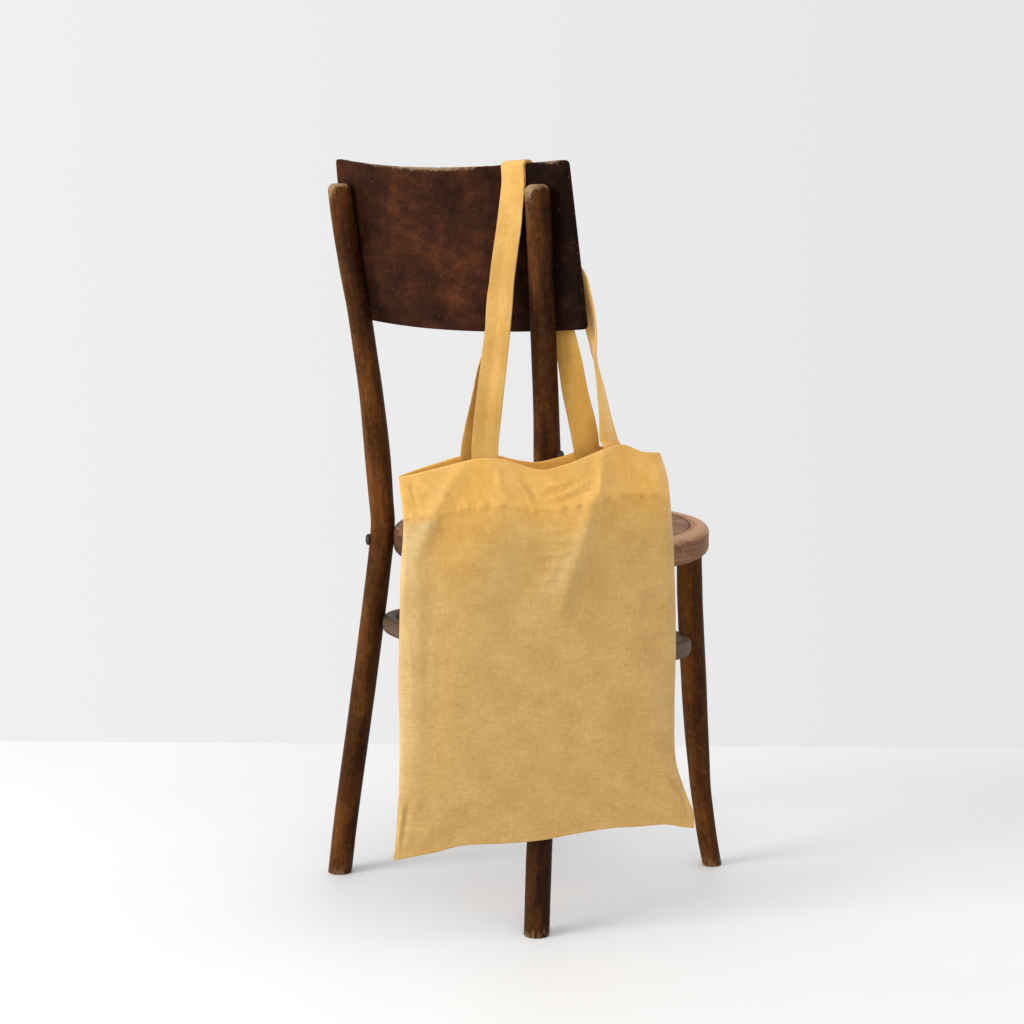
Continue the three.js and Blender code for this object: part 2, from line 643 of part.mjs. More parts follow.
const chair = new THREE.Group();
chair.rotation.z = THREE.MathUtils.degToRad(CHAIR_TURN);
piece(chair, 'seat_ring', seatRing(0), wornWood);
piece(chair, 'seat_panel', turned([
  [0, SEAT_TOP - PANEL_DROP - PANEL_THICK], [PANEL_RADIUS, SEAT_TOP - PANEL_DROP - PANEL_THICK],
  [PANEL_RADIUS, SEAT_TOP - PANEL_DROP], [0, SEAT_TOP - PANEL_DROP],
]), wornWood);
piece(chair, 'hoop', hoop(0), wornWood);
piece(chair, 'back_board', splat(0), darkWood);
for (const [side, mirror] of [['left', -1], ['right', 1]]) {
  const rear = cut(leg(REAR_LEG, mirror), seatRing(TOUCH), hoop(TOUCH), splat(TOUCH));
  piece(chair, `rear_leg_${side}`, rear, darkWood);
  piece(chair, `front_leg_${side}`, cut(leg(FRONT_LEG, mirror), hoop(TOUCH)), darkWood);
}
piece(chair, 'bolt_left', legBolt(-1, 418, 225, 1.5, 7, 4), steel);
piece(chair, 'bolt_right', legBolt(1, 548, 20, 0.4, 6, 4.2), steel);
whole.add(chair);

const box = new THREE.Box3().setFromObject(whole, true);
whole.position.set(-(box.min.x + box.max.x) / 2, -(box.min.y + box.max.y) / 2, 0);

export default whole;
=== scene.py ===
import math

import bpy
import numpy as np
from mathutils import Matrix, Vector, noise


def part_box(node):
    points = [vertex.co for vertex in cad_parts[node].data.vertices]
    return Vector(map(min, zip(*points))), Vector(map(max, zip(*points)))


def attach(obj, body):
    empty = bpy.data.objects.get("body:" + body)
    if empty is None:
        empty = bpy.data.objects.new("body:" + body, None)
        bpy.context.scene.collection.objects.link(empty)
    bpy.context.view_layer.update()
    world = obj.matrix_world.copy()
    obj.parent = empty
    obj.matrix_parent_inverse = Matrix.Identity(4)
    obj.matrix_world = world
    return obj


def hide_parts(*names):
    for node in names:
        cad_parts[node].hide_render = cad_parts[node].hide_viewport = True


MM = 0.001

# Bag
CLOTH = 0.9
PANEL_HEIGHT = 430
HEM_INSIDE = 1.2
HEM_STARTS = 0.885
HANDLE_WIDTH = 30.5
HANDLE_THICK = 1.8
SEWN_DEPTH = 0.09
SEWN_LIFT = 0.1
MOUTH_WIDTH = 310
SIDE_ROUNDNESS = 3
COLUMN_CROWDING = 1.3
TOP_BEND_STARTS = 0.55
BOTTOM_BEND_ENDS = 0.3
FOLDS_START = 0.12
FOLD_FADE = 0.8
PANEL_COLUMNS = 190
LOW_ROWS = 100
HIGH_ROWS = 112
HIGH_STARTS = 0.62
ROW_APART = 0.0015
OUTSIDE = dict(front=1, back=-1)

# Stitches
STITCH_LONG = 2.6
STITCH_PITCH = 3.3
STITCH_WIDE = 0.5
STITCH_HIGH = 0.3
DENT_WIDE = 2.2
SEAM_INSET = 0.84
SEAM_DENT = 0.12
BOX_INSET = 2.2
THREAD_SIDES = 6

# Chair
CHAIR_TURN = math.radians(-60)
SEAT_RADIUS = 194
SEAT_TOP = 437
SEAT_DEPTH = 34
SEAT_RING_WIDTH = 36
PANEL_RADIUS = 170
PANEL_THICK = 6
PANEL_DROP = 0.8
PANEL_DIP = 1.2
PANEL_EDGE = 1.2
PANEL_REST = 0.3
GROOVE = 1.2
HOOP_RADIUS = 190.6
HOOP_CENTRE_Y = -25
HOOP_HEIGHT = 302.4
HOOP_SLOPE = -0.113
HOOP_WIDE = 16
HOOP_TALL = 20
HOOP_BULGE = 0.72
SPLAT_THICK = 9
SPLAT_CORNER = 6
SPLAT_ROUND = 2.2

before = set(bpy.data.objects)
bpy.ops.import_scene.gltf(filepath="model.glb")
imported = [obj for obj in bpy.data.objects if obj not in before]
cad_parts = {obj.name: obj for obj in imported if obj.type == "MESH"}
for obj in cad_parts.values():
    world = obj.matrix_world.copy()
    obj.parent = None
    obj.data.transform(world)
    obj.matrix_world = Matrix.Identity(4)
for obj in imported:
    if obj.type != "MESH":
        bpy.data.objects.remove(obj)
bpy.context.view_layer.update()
seat_low, seat_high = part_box("seat_panel")
AXIS = Vector(((seat_low.x + seat_high.x) / 2, (seat_low.y + seat_high.y) / 2, 0))


def placed(name, data):
    item = bpy.data.objects.new(name, data)
    bpy.context.collection.objects.link(item)
    return item


# The camera, in the bag's frame
CAMERA_PLACE = Vector((-0.78454, -2.68526, 0.86551))
CAMERA_YAW = -15.30
CAMERA_PITCH = -8.43
CAMERA_ROLL = -0.05
CAMERA_LENS = 80.72


def make_camera():
    data = bpy.data.cameras.new("camera")
    data.sensor_width = 36
    data.lens = CAMERA_LENS
    camera = placed("camera", data)
    turn = Matrix.Rotation(math.radians(CAMERA_YAW), 4, "Z")
    tilt = Matrix.Rotation(math.radians(90 + CAMERA_PITCH), 4, "X")
    roll = Matrix.Rotation(math.radians(CAMERA_ROLL), 4, "Z")
    camera.matrix_world = Matrix.Translation(CAMERA_PLACE + AXIS) @ turn @ tilt @ roll
    bpy.context.scene.camera = camera


make_camera()


# Tables and placing


def table(names, rows):
    """Rows of values as dicts with these names. A row may leave out its last ones."""
    return [dict(zip(names.split(), row)) for row in rows]


def hermite(start, slope, end, end_slope, t):
    """A smooth curve from start to end, with the given slopes, as t goes from 0 to 1."""
    return (
        start * (2 * t**3 - 3 * t**2 + 1)
        + slope * (t**3 - 2 * t**2 + t)
        + end * (3 * t**2 - 2 * t**3)
        + end_slope * (t**3 - t**2)
    )


def bell(at, middle, half):
    """1 at the middle, and falling smoothly towards 0 on both sides."""
    return np.exp(-(((at - middle) / half) ** 2))


def read(rows, by, at, column):
    """One column of a table at a value of its `by` column, with the slope kept smooth."""
    last = len(rows) - 1
    k = 0
    while k < last - 1 and at > rows[k + 1][by]:
        k += 1
    span = rows[k + 1][by] - rows[k][by]
    t = min(1, max(0, (at - rows[k][by]) / span))

    def slope(i):
        a, b = rows[max(0, i - 1)], rows[min(last, i + 1)]
        return (b[column] - a[column]) / (b[by] - a[by]) * span

    return hermite(rows[k][column], slope(k), rows[k + 1][column], slope(k + 1), t)


def column_at(rows, by, values, column):
    return np.array([read(rows, by, at, column) for at in values])


def turned_points(points):
    """Points of the chair's own frame in the bag's frame."""
    c, s = math.cos(CHAIR_TURN), math.sin(CHAIR_TURN)
    points = np.asarray(points, float)
    x = c * points[..., 0] - s * points[..., 1]
    y = s * points[..., 0] + c * points[..., 1]
    return np.stack([x, y, points[..., 2]], -1)


def to_row(points):
    return np.asarray(points, float) * MM + np.array(AXIS)


def unit(vectors):
    size = np.linalg.norm(vectors, axis=-1, keepdims=True)
    return vectors / np.maximum(size, 1e-9)


def lengths_along(line):
    steps = np.linalg.norm(np.diff(line, axis=0), axis=1)
    return np.concatenate([[0], np.cumsum(steps)])


# Meshes


def strip_faces(columns, rows, start=0, closed=False):
    """Quads between neighbouring rows of a grid whose rows are `columns` points long."""
    faces = []
    last = columns if closed else columns - 1
    for j in range(rows - 1):
        a = start + j * columns
        for i in range(last):
            k = (i + 1) % columns
            faces.append((a + i, a + k, a + columns + k, a + columns + i))
    return faces


def outward(points, faces):
    """The faces, turned over if they point into the closed body."""
    fans = [(face[0], face[k], face[k + 1]) for face in faces for k in range(1, len(face) - 1)]
    a, b, c = np.asarray(points)[np.array(fans).T]
    volume = np.einsum("ij,ij", a, np.cross(b, c))
    return faces if volume > 0 else [tuple(reversed(face)) for face in faces]


def add_piece(name, points, faces, material, slot, replaces=(), **values):
    """A shown piece in the row's frame. values are its point attributes."""
    mesh = bpy.data.meshes.new(name)
    mesh.from_pydata(np.asarray(points).tolist(), [], faces)
    for key, value in values.items():
        value = np.asarray(value, np.float32)
        kind = "FLOAT_VECTOR" if value.ndim == 2 else "FLOAT"
        attribute = mesh.attributes.new(key, kind, "POINT")
        attribute.data.foreach_set("vector" if value.ndim == 2 else "value", value.ravel())
    mesh.polygons.foreach_set("use_smooth", [True] * len(mesh.polygons))
    mesh.materials.append(material)
    piece = placed(name, mesh)
    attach(piece, "root")
    if replaces:
        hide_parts(*replaces)
    return piece


def add_wood(node, points, faces, wood, slot, **values):
    """A wooden piece of the chair, in the chair's own frame, which stands for one node."""
    points = to_row(turned_points(points))
    add_piece(f"{node}_wood", points, faces, wood, slot, [node], **values)


def lofted(sections):
    """Points and faces of a capped solid through closed sections of equal point count."""
    count = len(sections[0])
    points = np.concatenate(sections)
    faces = strip_faces(count, len(sections), closed=True)
    end = len(points) - count
    faces.append(tuple(range(count - 1, -1, -1)))
    faces.append(tuple(range(end, end + count)))
    return points, outward(points, faces)


# Materials


class Nodes:
    """Short ways to add and wire the nodes of a tree."""

    def __init__(self, tree):
        self.tree = tree

    def put(self, socket, value):
        """Set a socket to a value, or link it to another socket."""
        if isinstance(value, bpy.types.NodeSocket):
            self.tree.links.new(value, socket)
        else:
            socket.default_value = value

    def node(self, kind, inputs=None, **settings):
        node = self.tree.nodes.new("ShaderNode" + kind)
        for key, value in settings.items():
            setattr(node, key, value)
        for key, value in (inputs or {}).items():
            self.put(node.inputs[key], value)
        return node

    def value(self, name, kind="Fac"):
        return self.node("Attribute", attribute_name=name).outputs[kind]

    def noise(self, vector, scale, detail=2.0, rough=0.5):
        inputs = {"Vector": vector, "Scale": scale, "Detail": detail, "Roughness": rough}
        return self.node("TexNoise", inputs).outputs["Fac"]

    def stretch(self, vector, x, y, z):
        return self.node("Mapping", {"Vector": vector, "Scale": (x, y, z)}).outputs[0]

    def maths(self, operation, a, b=0.0):
        return self.node("Math", {0: a, 1: b}, operation=operation).outputs[0]

    def scaled(self, value, by, plus=0.0):
        """value times by, plus a number or another value."""
        return self.node("Math", {0: value, 1: by, 2: plus}, operation="MULTIPLY_ADD").outputs[0]

    def span(self, value, low, high, to_low=0.0, to_high=1.0):
        inputs = {"Value": value, "From Min": low, "From Max": high}
        inputs.update({"To Min": to_low, "To Max": to_high})
        return self.node("MapRange", inputs).outputs[0]

    def ramp(self, value, *stops):
        node = self.node("ValToRGB", {"Fac": value})
        ramp = node.color_ramp
        for element, (place, color) in zip(ramp.elements, (stops[0], stops[-1])):
            element.position, element.color = place, (*color, 1)
        for place, color in stops[1:-1]:
            ramp.elements.new(place).color = (*color, 1)
        return node.outputs["Color"]

    def mix(self, share, a, b, blend="MIX"):
        a, b = ((*color, 1) if isinstance(color, tuple) else color for color in (a, b))
        inputs = {0: share, 6: a, 7: b}
        return self.node("Mix", inputs, data_type="RGBA", blend_type=blend).outputs[2]

    def tint(self, share, color, by):
        return self.mix(share, color, by, "MULTIPLY")

    def bump(self, height, strength, distance, under=None):
        inputs = {"Height": height, "Strength": strength, "Distance": distance}
        if under is not None:
            inputs["Normal"] = under
        return self.node("Bump", inputs).outputs[0]


class Look(Nodes):
    """A new material with one shader."""

    def __init__(self, name):
        self.material = bpy.data.materials.new(name)
        self.material.use_nodes = True
        super().__init__(self.material.node_tree)
        self.tree.nodes.clear()
        self.shader = self.node("BsdfPrincipled")
        self.node("OutputMaterial", {"Surface": self.shader.outputs[0]})

    def finish(self, **sockets):
        for name, value in sockets.items():
            self.put(self.shader.inputs[name.replace("_", " ")], value)
        return self.material


# Thread spacing of the plain weave, and how the washed colour varies, from pale to deep.
# The hem and handles are given more of the dye colour, part of it as painted shade and bounce light.
THREADS_PER_METRE = 1450
LINEN_PALE = (0.565, 0.362, 0.130)
LINEN_DEEP = (0.50, 0.310, 0.101)
LINEN_WARM_PALE = (0.78, 0.435, 0.096)
LINEN_WARM_DEEP = (0.69, 0.352, 0.060)


def linen(name):
    """Washed plain-weave linen. `flow` is the place on the flat cloth, `warm` how much of
    its dye colour it shows, partly as painted shade and bounce light, and `tone` how light each
    colour is, partly as painted light and shade."""
    look = Look(name)
    flow = look.value("flow", "Vector")
    sway = look.node("TexNoise", {"Vector": flow, "Scale": 60.0, "Detail": 2.0})
    drift = look.node(
        "VectorMath", {0: sway.outputs["Color"], 1: (0.0014,) * 3}, operation="MULTIPLY"
    )
    place = look.node("VectorMath", {0: flow, 1: drift.outputs[0]}, operation="ADD")
    parts = look.node("SeparateXYZ", {0: place.outputs[0]})
    across = look.maths("MULTIPLY", parts.outputs["X"], THREADS_PER_METRE * math.pi)
    along = look.maths("MULTIPLY", parts.outputs["Y"], THREADS_PER_METRE * math.pi)
    warp = look.maths("ABSOLUTE", look.maths("SINE", across))
    weft = look.maths("ABSOLUTE", look.maths("SINE", along))
    checks = look.node(
        "TexChecker", {"Vector": place.outputs[0], "Scale": float(THREADS_PER_METRE)}
    ).outputs["Fac"]
    over = look.maths("MULTIPLY", warp, checks)
    under = look.maths("MULTIPLY", weft, look.maths("SUBTRACT", 1.0, checks))
    weave = look.maths("ADD", over, under)

    weft_slubs = look.noise(look.stretch(flow, 55, 1300, 1), 1.0, 3.0, 0.7)
    warp_slubs = look.noise(look.stretch(flow, 1200, 60, 1), 1.0, 3.0, 0.7)
    patchy = look.noise(flow, 210.0, 3.0, 0.6)
    cloudy = look.noise(flow, 26.0, 4.0, 0.6)
    plain = look.ramp(cloudy, (0.36, LINEN_DEEP), (0.64, LINEN_PALE))
    dyed = look.ramp(cloudy, (0.36, LINEN_WARM_DEEP), (0.64, LINEN_WARM_PALE))
    # Painted shade and bounce light come in through the dye share, painted light and shade through
    # tone
    color = look.mix(look.value("warm"), plain, dyed)
    color = look.tint(1.0, color, look.value("tone", "Vector"))
    weft_tone = look.ramp(
        weft_slubs, (0.28, (0.86, 0.82, 0.77)), (0.5, (1, 1, 1)), (0.74, (1.1, 1.12, 1.18))
    )
    warp_tone = look.ramp(
        warp_slubs, (0.28, (0.91, 0.88, 0.84)), (0.5, (1, 1, 1)), (0.75, (1.06, 1.07, 1.1))
    )
    flecks = look.ramp(patchy, (0.3, (0.93, 0.91, 0.87)), (0.7, (1.05, 1.06, 1.09)))
    # Gaps between the threads are painted darker, as shade
    gaps = look.ramp(weave, (0.0, (0.80, 0.76, 0.70)), (0.45, (1, 1, 1)))
    single = look.scaled(look.value("double"), -0.45, 1.0)
    color = look.tint(single, color, weft_tone)
    color = look.tint(single, color, warp_tone)
    color = look.tint(0.8, color, flecks)
    color = look.tint(look.maths("MULTIPLY", single, 0.75), color, gaps)

    height = look.scaled(weft_slubs, 1.6, weave)
    height = look.scaled(warp_slubs, 1.0, height)
    normal = look.bump(height, 0.5, 0.0002)
    normal = look.bump(patchy, 0.4, 0.0006, normal)
    return look.finish(
        Base_Color=color,
        Roughness=0.9,
        Sheen_Weight=0.3,
        Sheen_Roughness=0.45,
        Specular_IOR_Level=0.12,
        Normal=normal,
    )


def thread_look():
    look = Look("thread")
    flow = look.value("flow", "Vector")
    twist = look.noise(flow, 900.0, 2.0)
    color = look.ramp(twist, (0.3, (0.60, 0.35, 0.095)), (0.7, (0.76, 0.47, 0.15)))
    return look.finish(Base_Color=color, Roughness=0.8, Sheen_Weight=0.2)


def wood(name, dark, mid, light, worn, streak=0.38, scale=11.0, gloss=0.05, spread=0.14, soft=0.13):
    """Old stained wood. `flow` has the grain along its Z, `wear_and_highlight` is 1 where it is worn
    bare, and in places painted with a highlight, and `patina_and_light` moves the stain towards dark
    or light, in places as painted light and shade. streak is below 1 for long blotches."""
    look = Look(name)
    flow = look.value("flow", "Vector")
    rings = look.noise(look.stretch(flow, 1, 1, 0.07), 260.0, 3.0, 0.6)
    pores = look.noise(look.stretch(flow, 1, 1, 0.03), 900.0, 1.0, 0.5)
    blotch = look.noise(look.stretch(flow, 1, 1, streak), scale, 5.0, 0.62)
    smear = look.noise(look.stretch(flow, 1, 1, streak * 0.6), scale * 4.5, 4.0, 0.6)
    stain = look.noise(flow, scale * 14, 3.0, 0.6)
    tone = look.scaled(smear, 0.40, look.maths("MULTIPLY", blotch, 0.47))
    tone = look.scaled(stain, 0.20, tone)
    tone = look.scaled(look.value("patina_and_light"), spread, tone)
    color = look.ramp(tone, (0.53 - soft, dark), (0.53, mid), (0.53 + soft, light))
    grain = look.ramp(
        rings, (0.32, (0.72, 0.68, 0.65)), (0.52, (1, 1, 1)), (0.75, (1.2, 1.18, 1.13))
    )
    along_grain = streak < 0.5
    color = look.tint(0.8 if along_grain else 0.3, color, grain)
    lines = look.ramp(pores, (0.36, (0.6, 0.55, 0.5)), (0.46, (1, 1, 1)))
    color = look.tint(0.45 if along_grain else 0.2, color, lines)
    ragged = look.noise(look.stretch(flow, 1, 1, 0.5), 230.0, 5.0, 0.75)
    ragged = look.span(ragged, 0.3, 0.7, -0.75, 0.1)
    rubbed_and_lit = look.span(look.scaled(look.value("wear_and_highlight"), 1.35, ragged), 0.1, 0.62)
    color = look.mix(rubbed_and_lit, color, worn)
    nicks = look.noise(look.stretch(flow, 1.6, 0.7, 0.9), 330.0, 1.0, 0.3)
    nicks = look.span(nicks, 0.78, 0.82, 0.0, 0.3)
    color = look.mix(nicks, color, worn)
    shine = look.span(tone, 0.4, 0.66, 0.42, 0.6)
    shine = look.scaled(rubbed_and_lit, 0.12, shine)
    height = look.scaled(pores, 0.6, rings)
    height = look.scaled(rubbed_and_lit, -0.5, height)
    normal = look.bump(height, 0.35, 0.00025)
    waves = look.noise(look.stretch(flow, 1, 1, 0.25), 45.0, 2.0)
    normal = look.bump(waves, 0.35, 0.0009, normal)
    return look.finish(Base_Color=color, Roughness=shine, Normal=normal, Specular_IOR_Level=gloss)


def steel_look():
    look = Look("old_steel")
    coords = look.value("flow", "Vector")
    patches = look.noise(coords, 420.0, 4.0, 0.6)
    color = look.ramp(patches, (0.35, (0.02, 0.018, 0.016)), (0.7, (0.09, 0.07, 0.055)))
    shine = look.span(patches, 0.3, 0.7, 0.38, 0.62)
    return look.finish(Base_Color=color, Roughness=shine, Metallic=0.75)


LINEN = linen("linen")
THREAD = thread_look()
STEEL = steel_look()
LEG_WOOD = wood(
    "leg_wood",
    (0.018, 0.0060, 0.0018),
    (0.062, 0.0205, 0.0042),
    (0.150, 0.053, 0.0110),
    (0.27, 0.165, 0.085),
)
BOARD_WOOD = wood(
    "board_wood",
    (0.0085, 0.0035, 0.0022),
    (0.034, 0.0112, 0.0054),
    (0.085, 0.0255, 0.0088),
    (0.24, 0.155, 0.095),
    streak=1.1,
    scale=21.0,
    gloss=0.02,
    spread=0.18,
    soft=0.21,
)
SEAT_WOOD = wood(
    "seat_wood",
    (0.080, 0.034, 0.017),
    (0.18, 0.084, 0.044),
    (0.30, 0.155, 0.088),
    (0.45, 0.262, 0.158),
)
HOOP_WOOD = wood(
    "hoop_wood",
    (0.058, 0.036, 0.021),
    (0.100, 0.064, 0.039),
    (0.15, 0.10, 0.066),
    (0.22, 0.16, 0.11),
)


# The chair's legs, in the chair's own frame
REAR_LEG = table("z x y d", [
    (0, 171.3, -202.0, 29.6),
    (80, 166.0, -193.2, 29.8),
    (200, 157.4, -177.6, 30.0),
    (320, 149.0, -162.8, 30.0),
    (400, 144.0, -153.4, 30.0),
    (437, 142.4, -150.4, 29.8),
    (470, 142.9, -152.6, 30.4),
    (510, 143.9, -155.4, 31.6),
    (545, 145.0, -158.2, 31.2),
    (600, 147.8, -162.9, 29.4),
    (700, 154.2, -175.3, 28.8),
    (740, 157.9, -181.4, 28.8),
    (780, 161.2, -187.1, 28.8),
    (815, 163.5, -191.4, 28.8),
    (852, 165.2, -195.4, 28.6),
])
FRONT_LEG = table("z x y d", [
    (0, 140.6, 148.2, 24.4),
    (30, 136.5, 144.2, 24.8),
    (60, 133.0, 141.2, 25.2),
    (100, 128.4, 138.2, 26.2),
    (130, 126.0, 137.2, 27.8),
    (180, 122.6, 135.2, 30.4),
    (250, 118.8, 133.0, 32.0),
    (330, 114.8, 130.6, 32.0),
    (402.7, 112.8, 129.8, 31.4),
])
LEG_SIDES = 40
LEG_STEP = 7
FOOT_ROUND = 1.6
POST_ROUND = 9
LUMPS = 0.22
# The side of a leg painted lighter, with its far side painted darker, as painted light and shade: a
# compass direction of the chair
LIT_SIDE = math.radians(225)
SIDE_LIGHT = 0.4
FOOT_WORN = 22
SHOULDER_HIGHLIGHT = 20
# How much lighter (above 0) or darker (below 0) each leg is made, by height
LEG_LIGHTNESS = dict(
    rear_leg_left=[(0, 0.1), (380, 0.25), (520, 0.4), (680, 0.1), (852, 0)],
    rear_leg_right=[(0, -0.7), (160, -0.6), (560, -0.3), (852, -0.55)],
    front_leg_right=[(0, 0.45), (200, 0.35), (402, 0.3)],
    front_leg_left=[(0, 0), (402, 0)],
)


def leg_wear_and_highlight(z, top_round, high, from_top, lit):
    """How worn a leg is: its foot a little, and the domed top of a post the most, with a painted
    highlight below the dome on its lit side.
    """
    foot = max(0, 1 - z / FOOT_WORN) * 0.35
    if not top_round:
        return foot + 0.12
    # A painted highlight below the dome, on the lit side
    shoulder = 0.75 * math.exp(-((from_top / SHOULDER_HIGHLIGHT) ** 2)) * max(0, lit)
    return foot + 0.6 * min(1, high / top_round) + shoulder + 0.08


def make_leg(name, rows, mirror, top_round, seed):
    """A round leg with a rounded foot and, on a post, a domed top."""
    top = rows[-1]["z"]
    heights = [FOOT_ROUND * (1 - math.cos(math.radians(a))) for a in (0, 30, 60)]
    heights += list(np.linspace(FOOT_ROUND, top - top_round, int(top / LEG_STEP)))
    heights += [top - top_round * (1 - math.sin(math.radians(a))) for a in (18, 36, 54, 72, 90)]
    angles = np.linspace(0, 2 * math.pi, LEG_SIDES, endpoint=False)
    lightness_rows = table("z tone", LEG_LIGHTNESS[name])
    sections, flow, rubbed_and_lit, stain = [], [], [], []
    for z in heights:
        radius = read(rows, "z", z, "d") / 2
        low = max(0, FOOT_ROUND - z)
        high = max(0, z - (top - top_round))
        radius -= FOOT_ROUND - math.sqrt(max(0, FOOT_ROUND**2 - low**2))
        if top_round:
            radius -= top_round - math.sqrt(max(0, top_round**2 - high**2))
        x, y = read(rows, "z", z, "x"), read(rows, "z", z, "y")
        ring = []
        for angle in angles:
            c, s = math.cos(angle), math.sin(angle)
            r = radius + LUMPS * noise.noise(Vector((3 * c, 3 * s, z / 38 + 9 * seed)))
            ring.append((mirror * x + r * c, y + r * s, z))
            flow.append((r * c * MM + seed, r * s * MM, z * MM))
            # Painted light on this side of the leg and painted shade on its far side
            lit = math.cos(angle - LIT_SIDE)
            rubbed_and_lit.append(leg_wear_and_highlight(z, top_round, high, top - z, lit))
            stain.append(SIDE_LIGHT * lit + read(lightness_rows, "z", z, "tone"))
        sections.append(np.array(ring))
    points, faces = lofted(sections)
    values = dict(flow=flow, wear_and_highlight=rubbed_and_lit, patina_and_light=stain)
    add_wood(name, points, faces, LEG_WOOD, "leg_wood", **values)


# The seat ring, its panel and the hoop, turned about the chair's upright axis


def arc(centre, radius, start, end, count):
    """Points of a round corner from one angle to another, in degrees."""
    angles = np.radians(np.linspace(start, end, count))
    return [(centre[0] + radius * math.cos(a), centre[1] + radius * math.sin(a)) for a in angles]


# The ring is one bent bar whose ends meet in a scarf. The joint shows as a fine line on top,
# and the hidden end of the lap as a scooped hollow in the side. Angles are the chair's own.
SCARF_ANGLE = 52.0
SCARF_LINE = 0.5
SCARF_DEPTH = 0.7
SCOOP_ANGLE = 4.2
SCOOP_HEIGHT = 421
SCOOP_LONG = 17
SCOOP_TALL = 13
SCOOP_DEPTH = 4.5
SEAT_ROUND = 9
# The side of the ring painted paler, with its far side painted darker, as painted light and shade
SEAT_LIT_SIDE = math.radians(45)
RING_WORN_FROM = 172
WORN_BAND = 8
RING_EDGE = 1.3
DENSE_HALF = 3.4
DENSE_STEP = 0.12


def ring_angles(count, dense_at=()):
    """Angles round a ring, closer together about the given ones."""
    angles = set(np.round(np.linspace(0, 360, count, endpoint=False), 4))
    for centre in dense_at:
        near = np.arange(centre - DENSE_HALF, centre + DENSE_HALF, DENSE_STEP)
        angles |= set(np.round(near % 360, 4))
    return np.radians(sorted(angles))


def revolved(profile, angles, shift=None):
    """Points, faces and flow of a closed profile turned about the axis. shift moves a point."""
    points, flow = [], []
    for angle in angles:
        for radius, height in profile:
            r, z = (radius, height) if shift is None else shift(radius, height, angle)
            points.append((r * math.cos(angle), r * math.sin(angle), z))
            flow.append((radius * MM, height * MM, angle * profile[0][0] * MM))
    count, turns = len(profile), len(angles)
    faces = strip_faces(count, turns, closed=True)
    end = (turns - 1) * count
    for i in range(count):
        k = (i + 1) % count
        faces.append((end + i, end + k, k, i))
    points = np.array(points)
    return points, outward(points, faces), np.array(flow)


def ring_shift(radius, height, angle):
    """The scarf's line and the scooped lap end, cut into the ring."""
    degrees = math.degrees(angle)
    from_line = math.radians(degrees - SCARF_ANGLE) * radius
    line = math.exp(-((from_line / SCARF_LINE) ** 2))
    z = height - SCARF_DEPTH * line * (height > SEAT_TOP - 12)
    out = radius - SCARF_DEPTH * line * (radius > SEAT_RADIUS - 4)
    apart = (degrees - SCOOP_ANGLE + 180) % 360 - 180
    across = math.radians(apart) * radius / (SCOOP_LONG / 2)
    up = (height - SCOOP_HEIGHT) / (SCOOP_TALL / 2)
    inside = 1 - across**2 - up**2
    if inside > 0 and radius > SEAT_RADIUS - 6:
        out -= SCOOP_DEPTH * inside**0.6
    return out, z


def make_seat_ring():
    low, top = SEAT_TOP - SEAT_DEPTH, SEAT_TOP
    outer, inner = SEAT_RADIUS, SEAT_RADIUS - SEAT_RING_WIDTH
    rebate = PANEL_RADIUS + GROOVE
    ledge = SEAT_TOP - PANEL_DROP - PANEL_THICK - PANEL_REST
    side = [(outer, z) for z in np.linspace(low + SEAT_ROUND, top - SEAT_ROUND, 12)]
    profile = (
        arc((outer - SEAT_ROUND, low + SEAT_ROUND), SEAT_ROUND, -90, 0, 8)[:-1]
        + side
        + arc((outer - SEAT_ROUND, top - SEAT_ROUND), SEAT_ROUND, 0, 90, 9)[1:]
        + [(rebate + 6, top)]
        + arc((rebate + RING_EDGE, top - RING_EDGE), RING_EDGE, 90, 180, 5)
        + [(rebate, ledge), (inner, ledge), (inner, low + 2), (inner + 2, low)]
    )
    angles = ring_angles(220, (SCARF_ANGLE, SCOOP_ANGLE))
    points, faces, flow = revolved(profile, angles, ring_shift)
    heights = points[:, 2]
    radii = np.hypot(points[:, 0], points[:, 1])
    on_top = np.clip((heights - (SEAT_TOP - SEAT_ROUND)) / WORN_BAND, 0, 1)
    on_top = on_top * np.clip((radii - RING_WORN_FROM) / WORN_BAND, 0, 1)
    # Painted light on one side of the ring and painted shade on the other, also in its rubbed top
    # edge
    light_side = np.cos(np.repeat(angles, len(profile)) - SEAT_LIT_SIDE)
    rubbed_and_lit = 0.10 + (0.5 + 0.2 * light_side) * on_top
    stain = on_top - 0.5 + 0.7 * light_side
    values = dict(flow=flow, wear_and_highlight=rubbed_and_lit, patina_and_light=stain)
    add_wood("seat_ring", points, faces, SEAT_WOOD, "seat_wood", **values)


def make_seat_panel():
    """A thin round panel, its grain straight across, that dips a little towards the middle."""
    top = SEAT_TOP - PANEL_DROP
    under = top - PANEL_THICK
    radii = [0.01, 30, 60, 90, 115, 135, 150, 160, 166]
    upper = [(r, top - PANEL_DIP * (1 - (r / PANEL_RADIUS) ** 2)) for r in radii]
    rim = arc((PANEL_RADIUS - PANEL_EDGE, top - PANEL_EDGE), PANEL_EDGE, 90, 0, 5)
    lower = [(PANEL_RADIUS, under), (80, under), (0.01, under)]
    points, faces, _ = revolved(upper + rim + lower, ring_angles(160))
    flow = np.stack([points[:, 1], points[:, 2], points[:, 0]], -1) * MM
    radii = np.hypot(points[:, 0], points[:, 1])
    rubbed_and_lit = 0.15 + 0.3 * np.exp(-((radii / 120) ** 2))
    values = dict(flow=flow, wear_and_highlight=rubbed_and_lit, patina_and_light=np.full(len(points), 0.3))
    add_wood("seat_panel", points, faces, SEAT_WOOD, "seat_wood", **values)


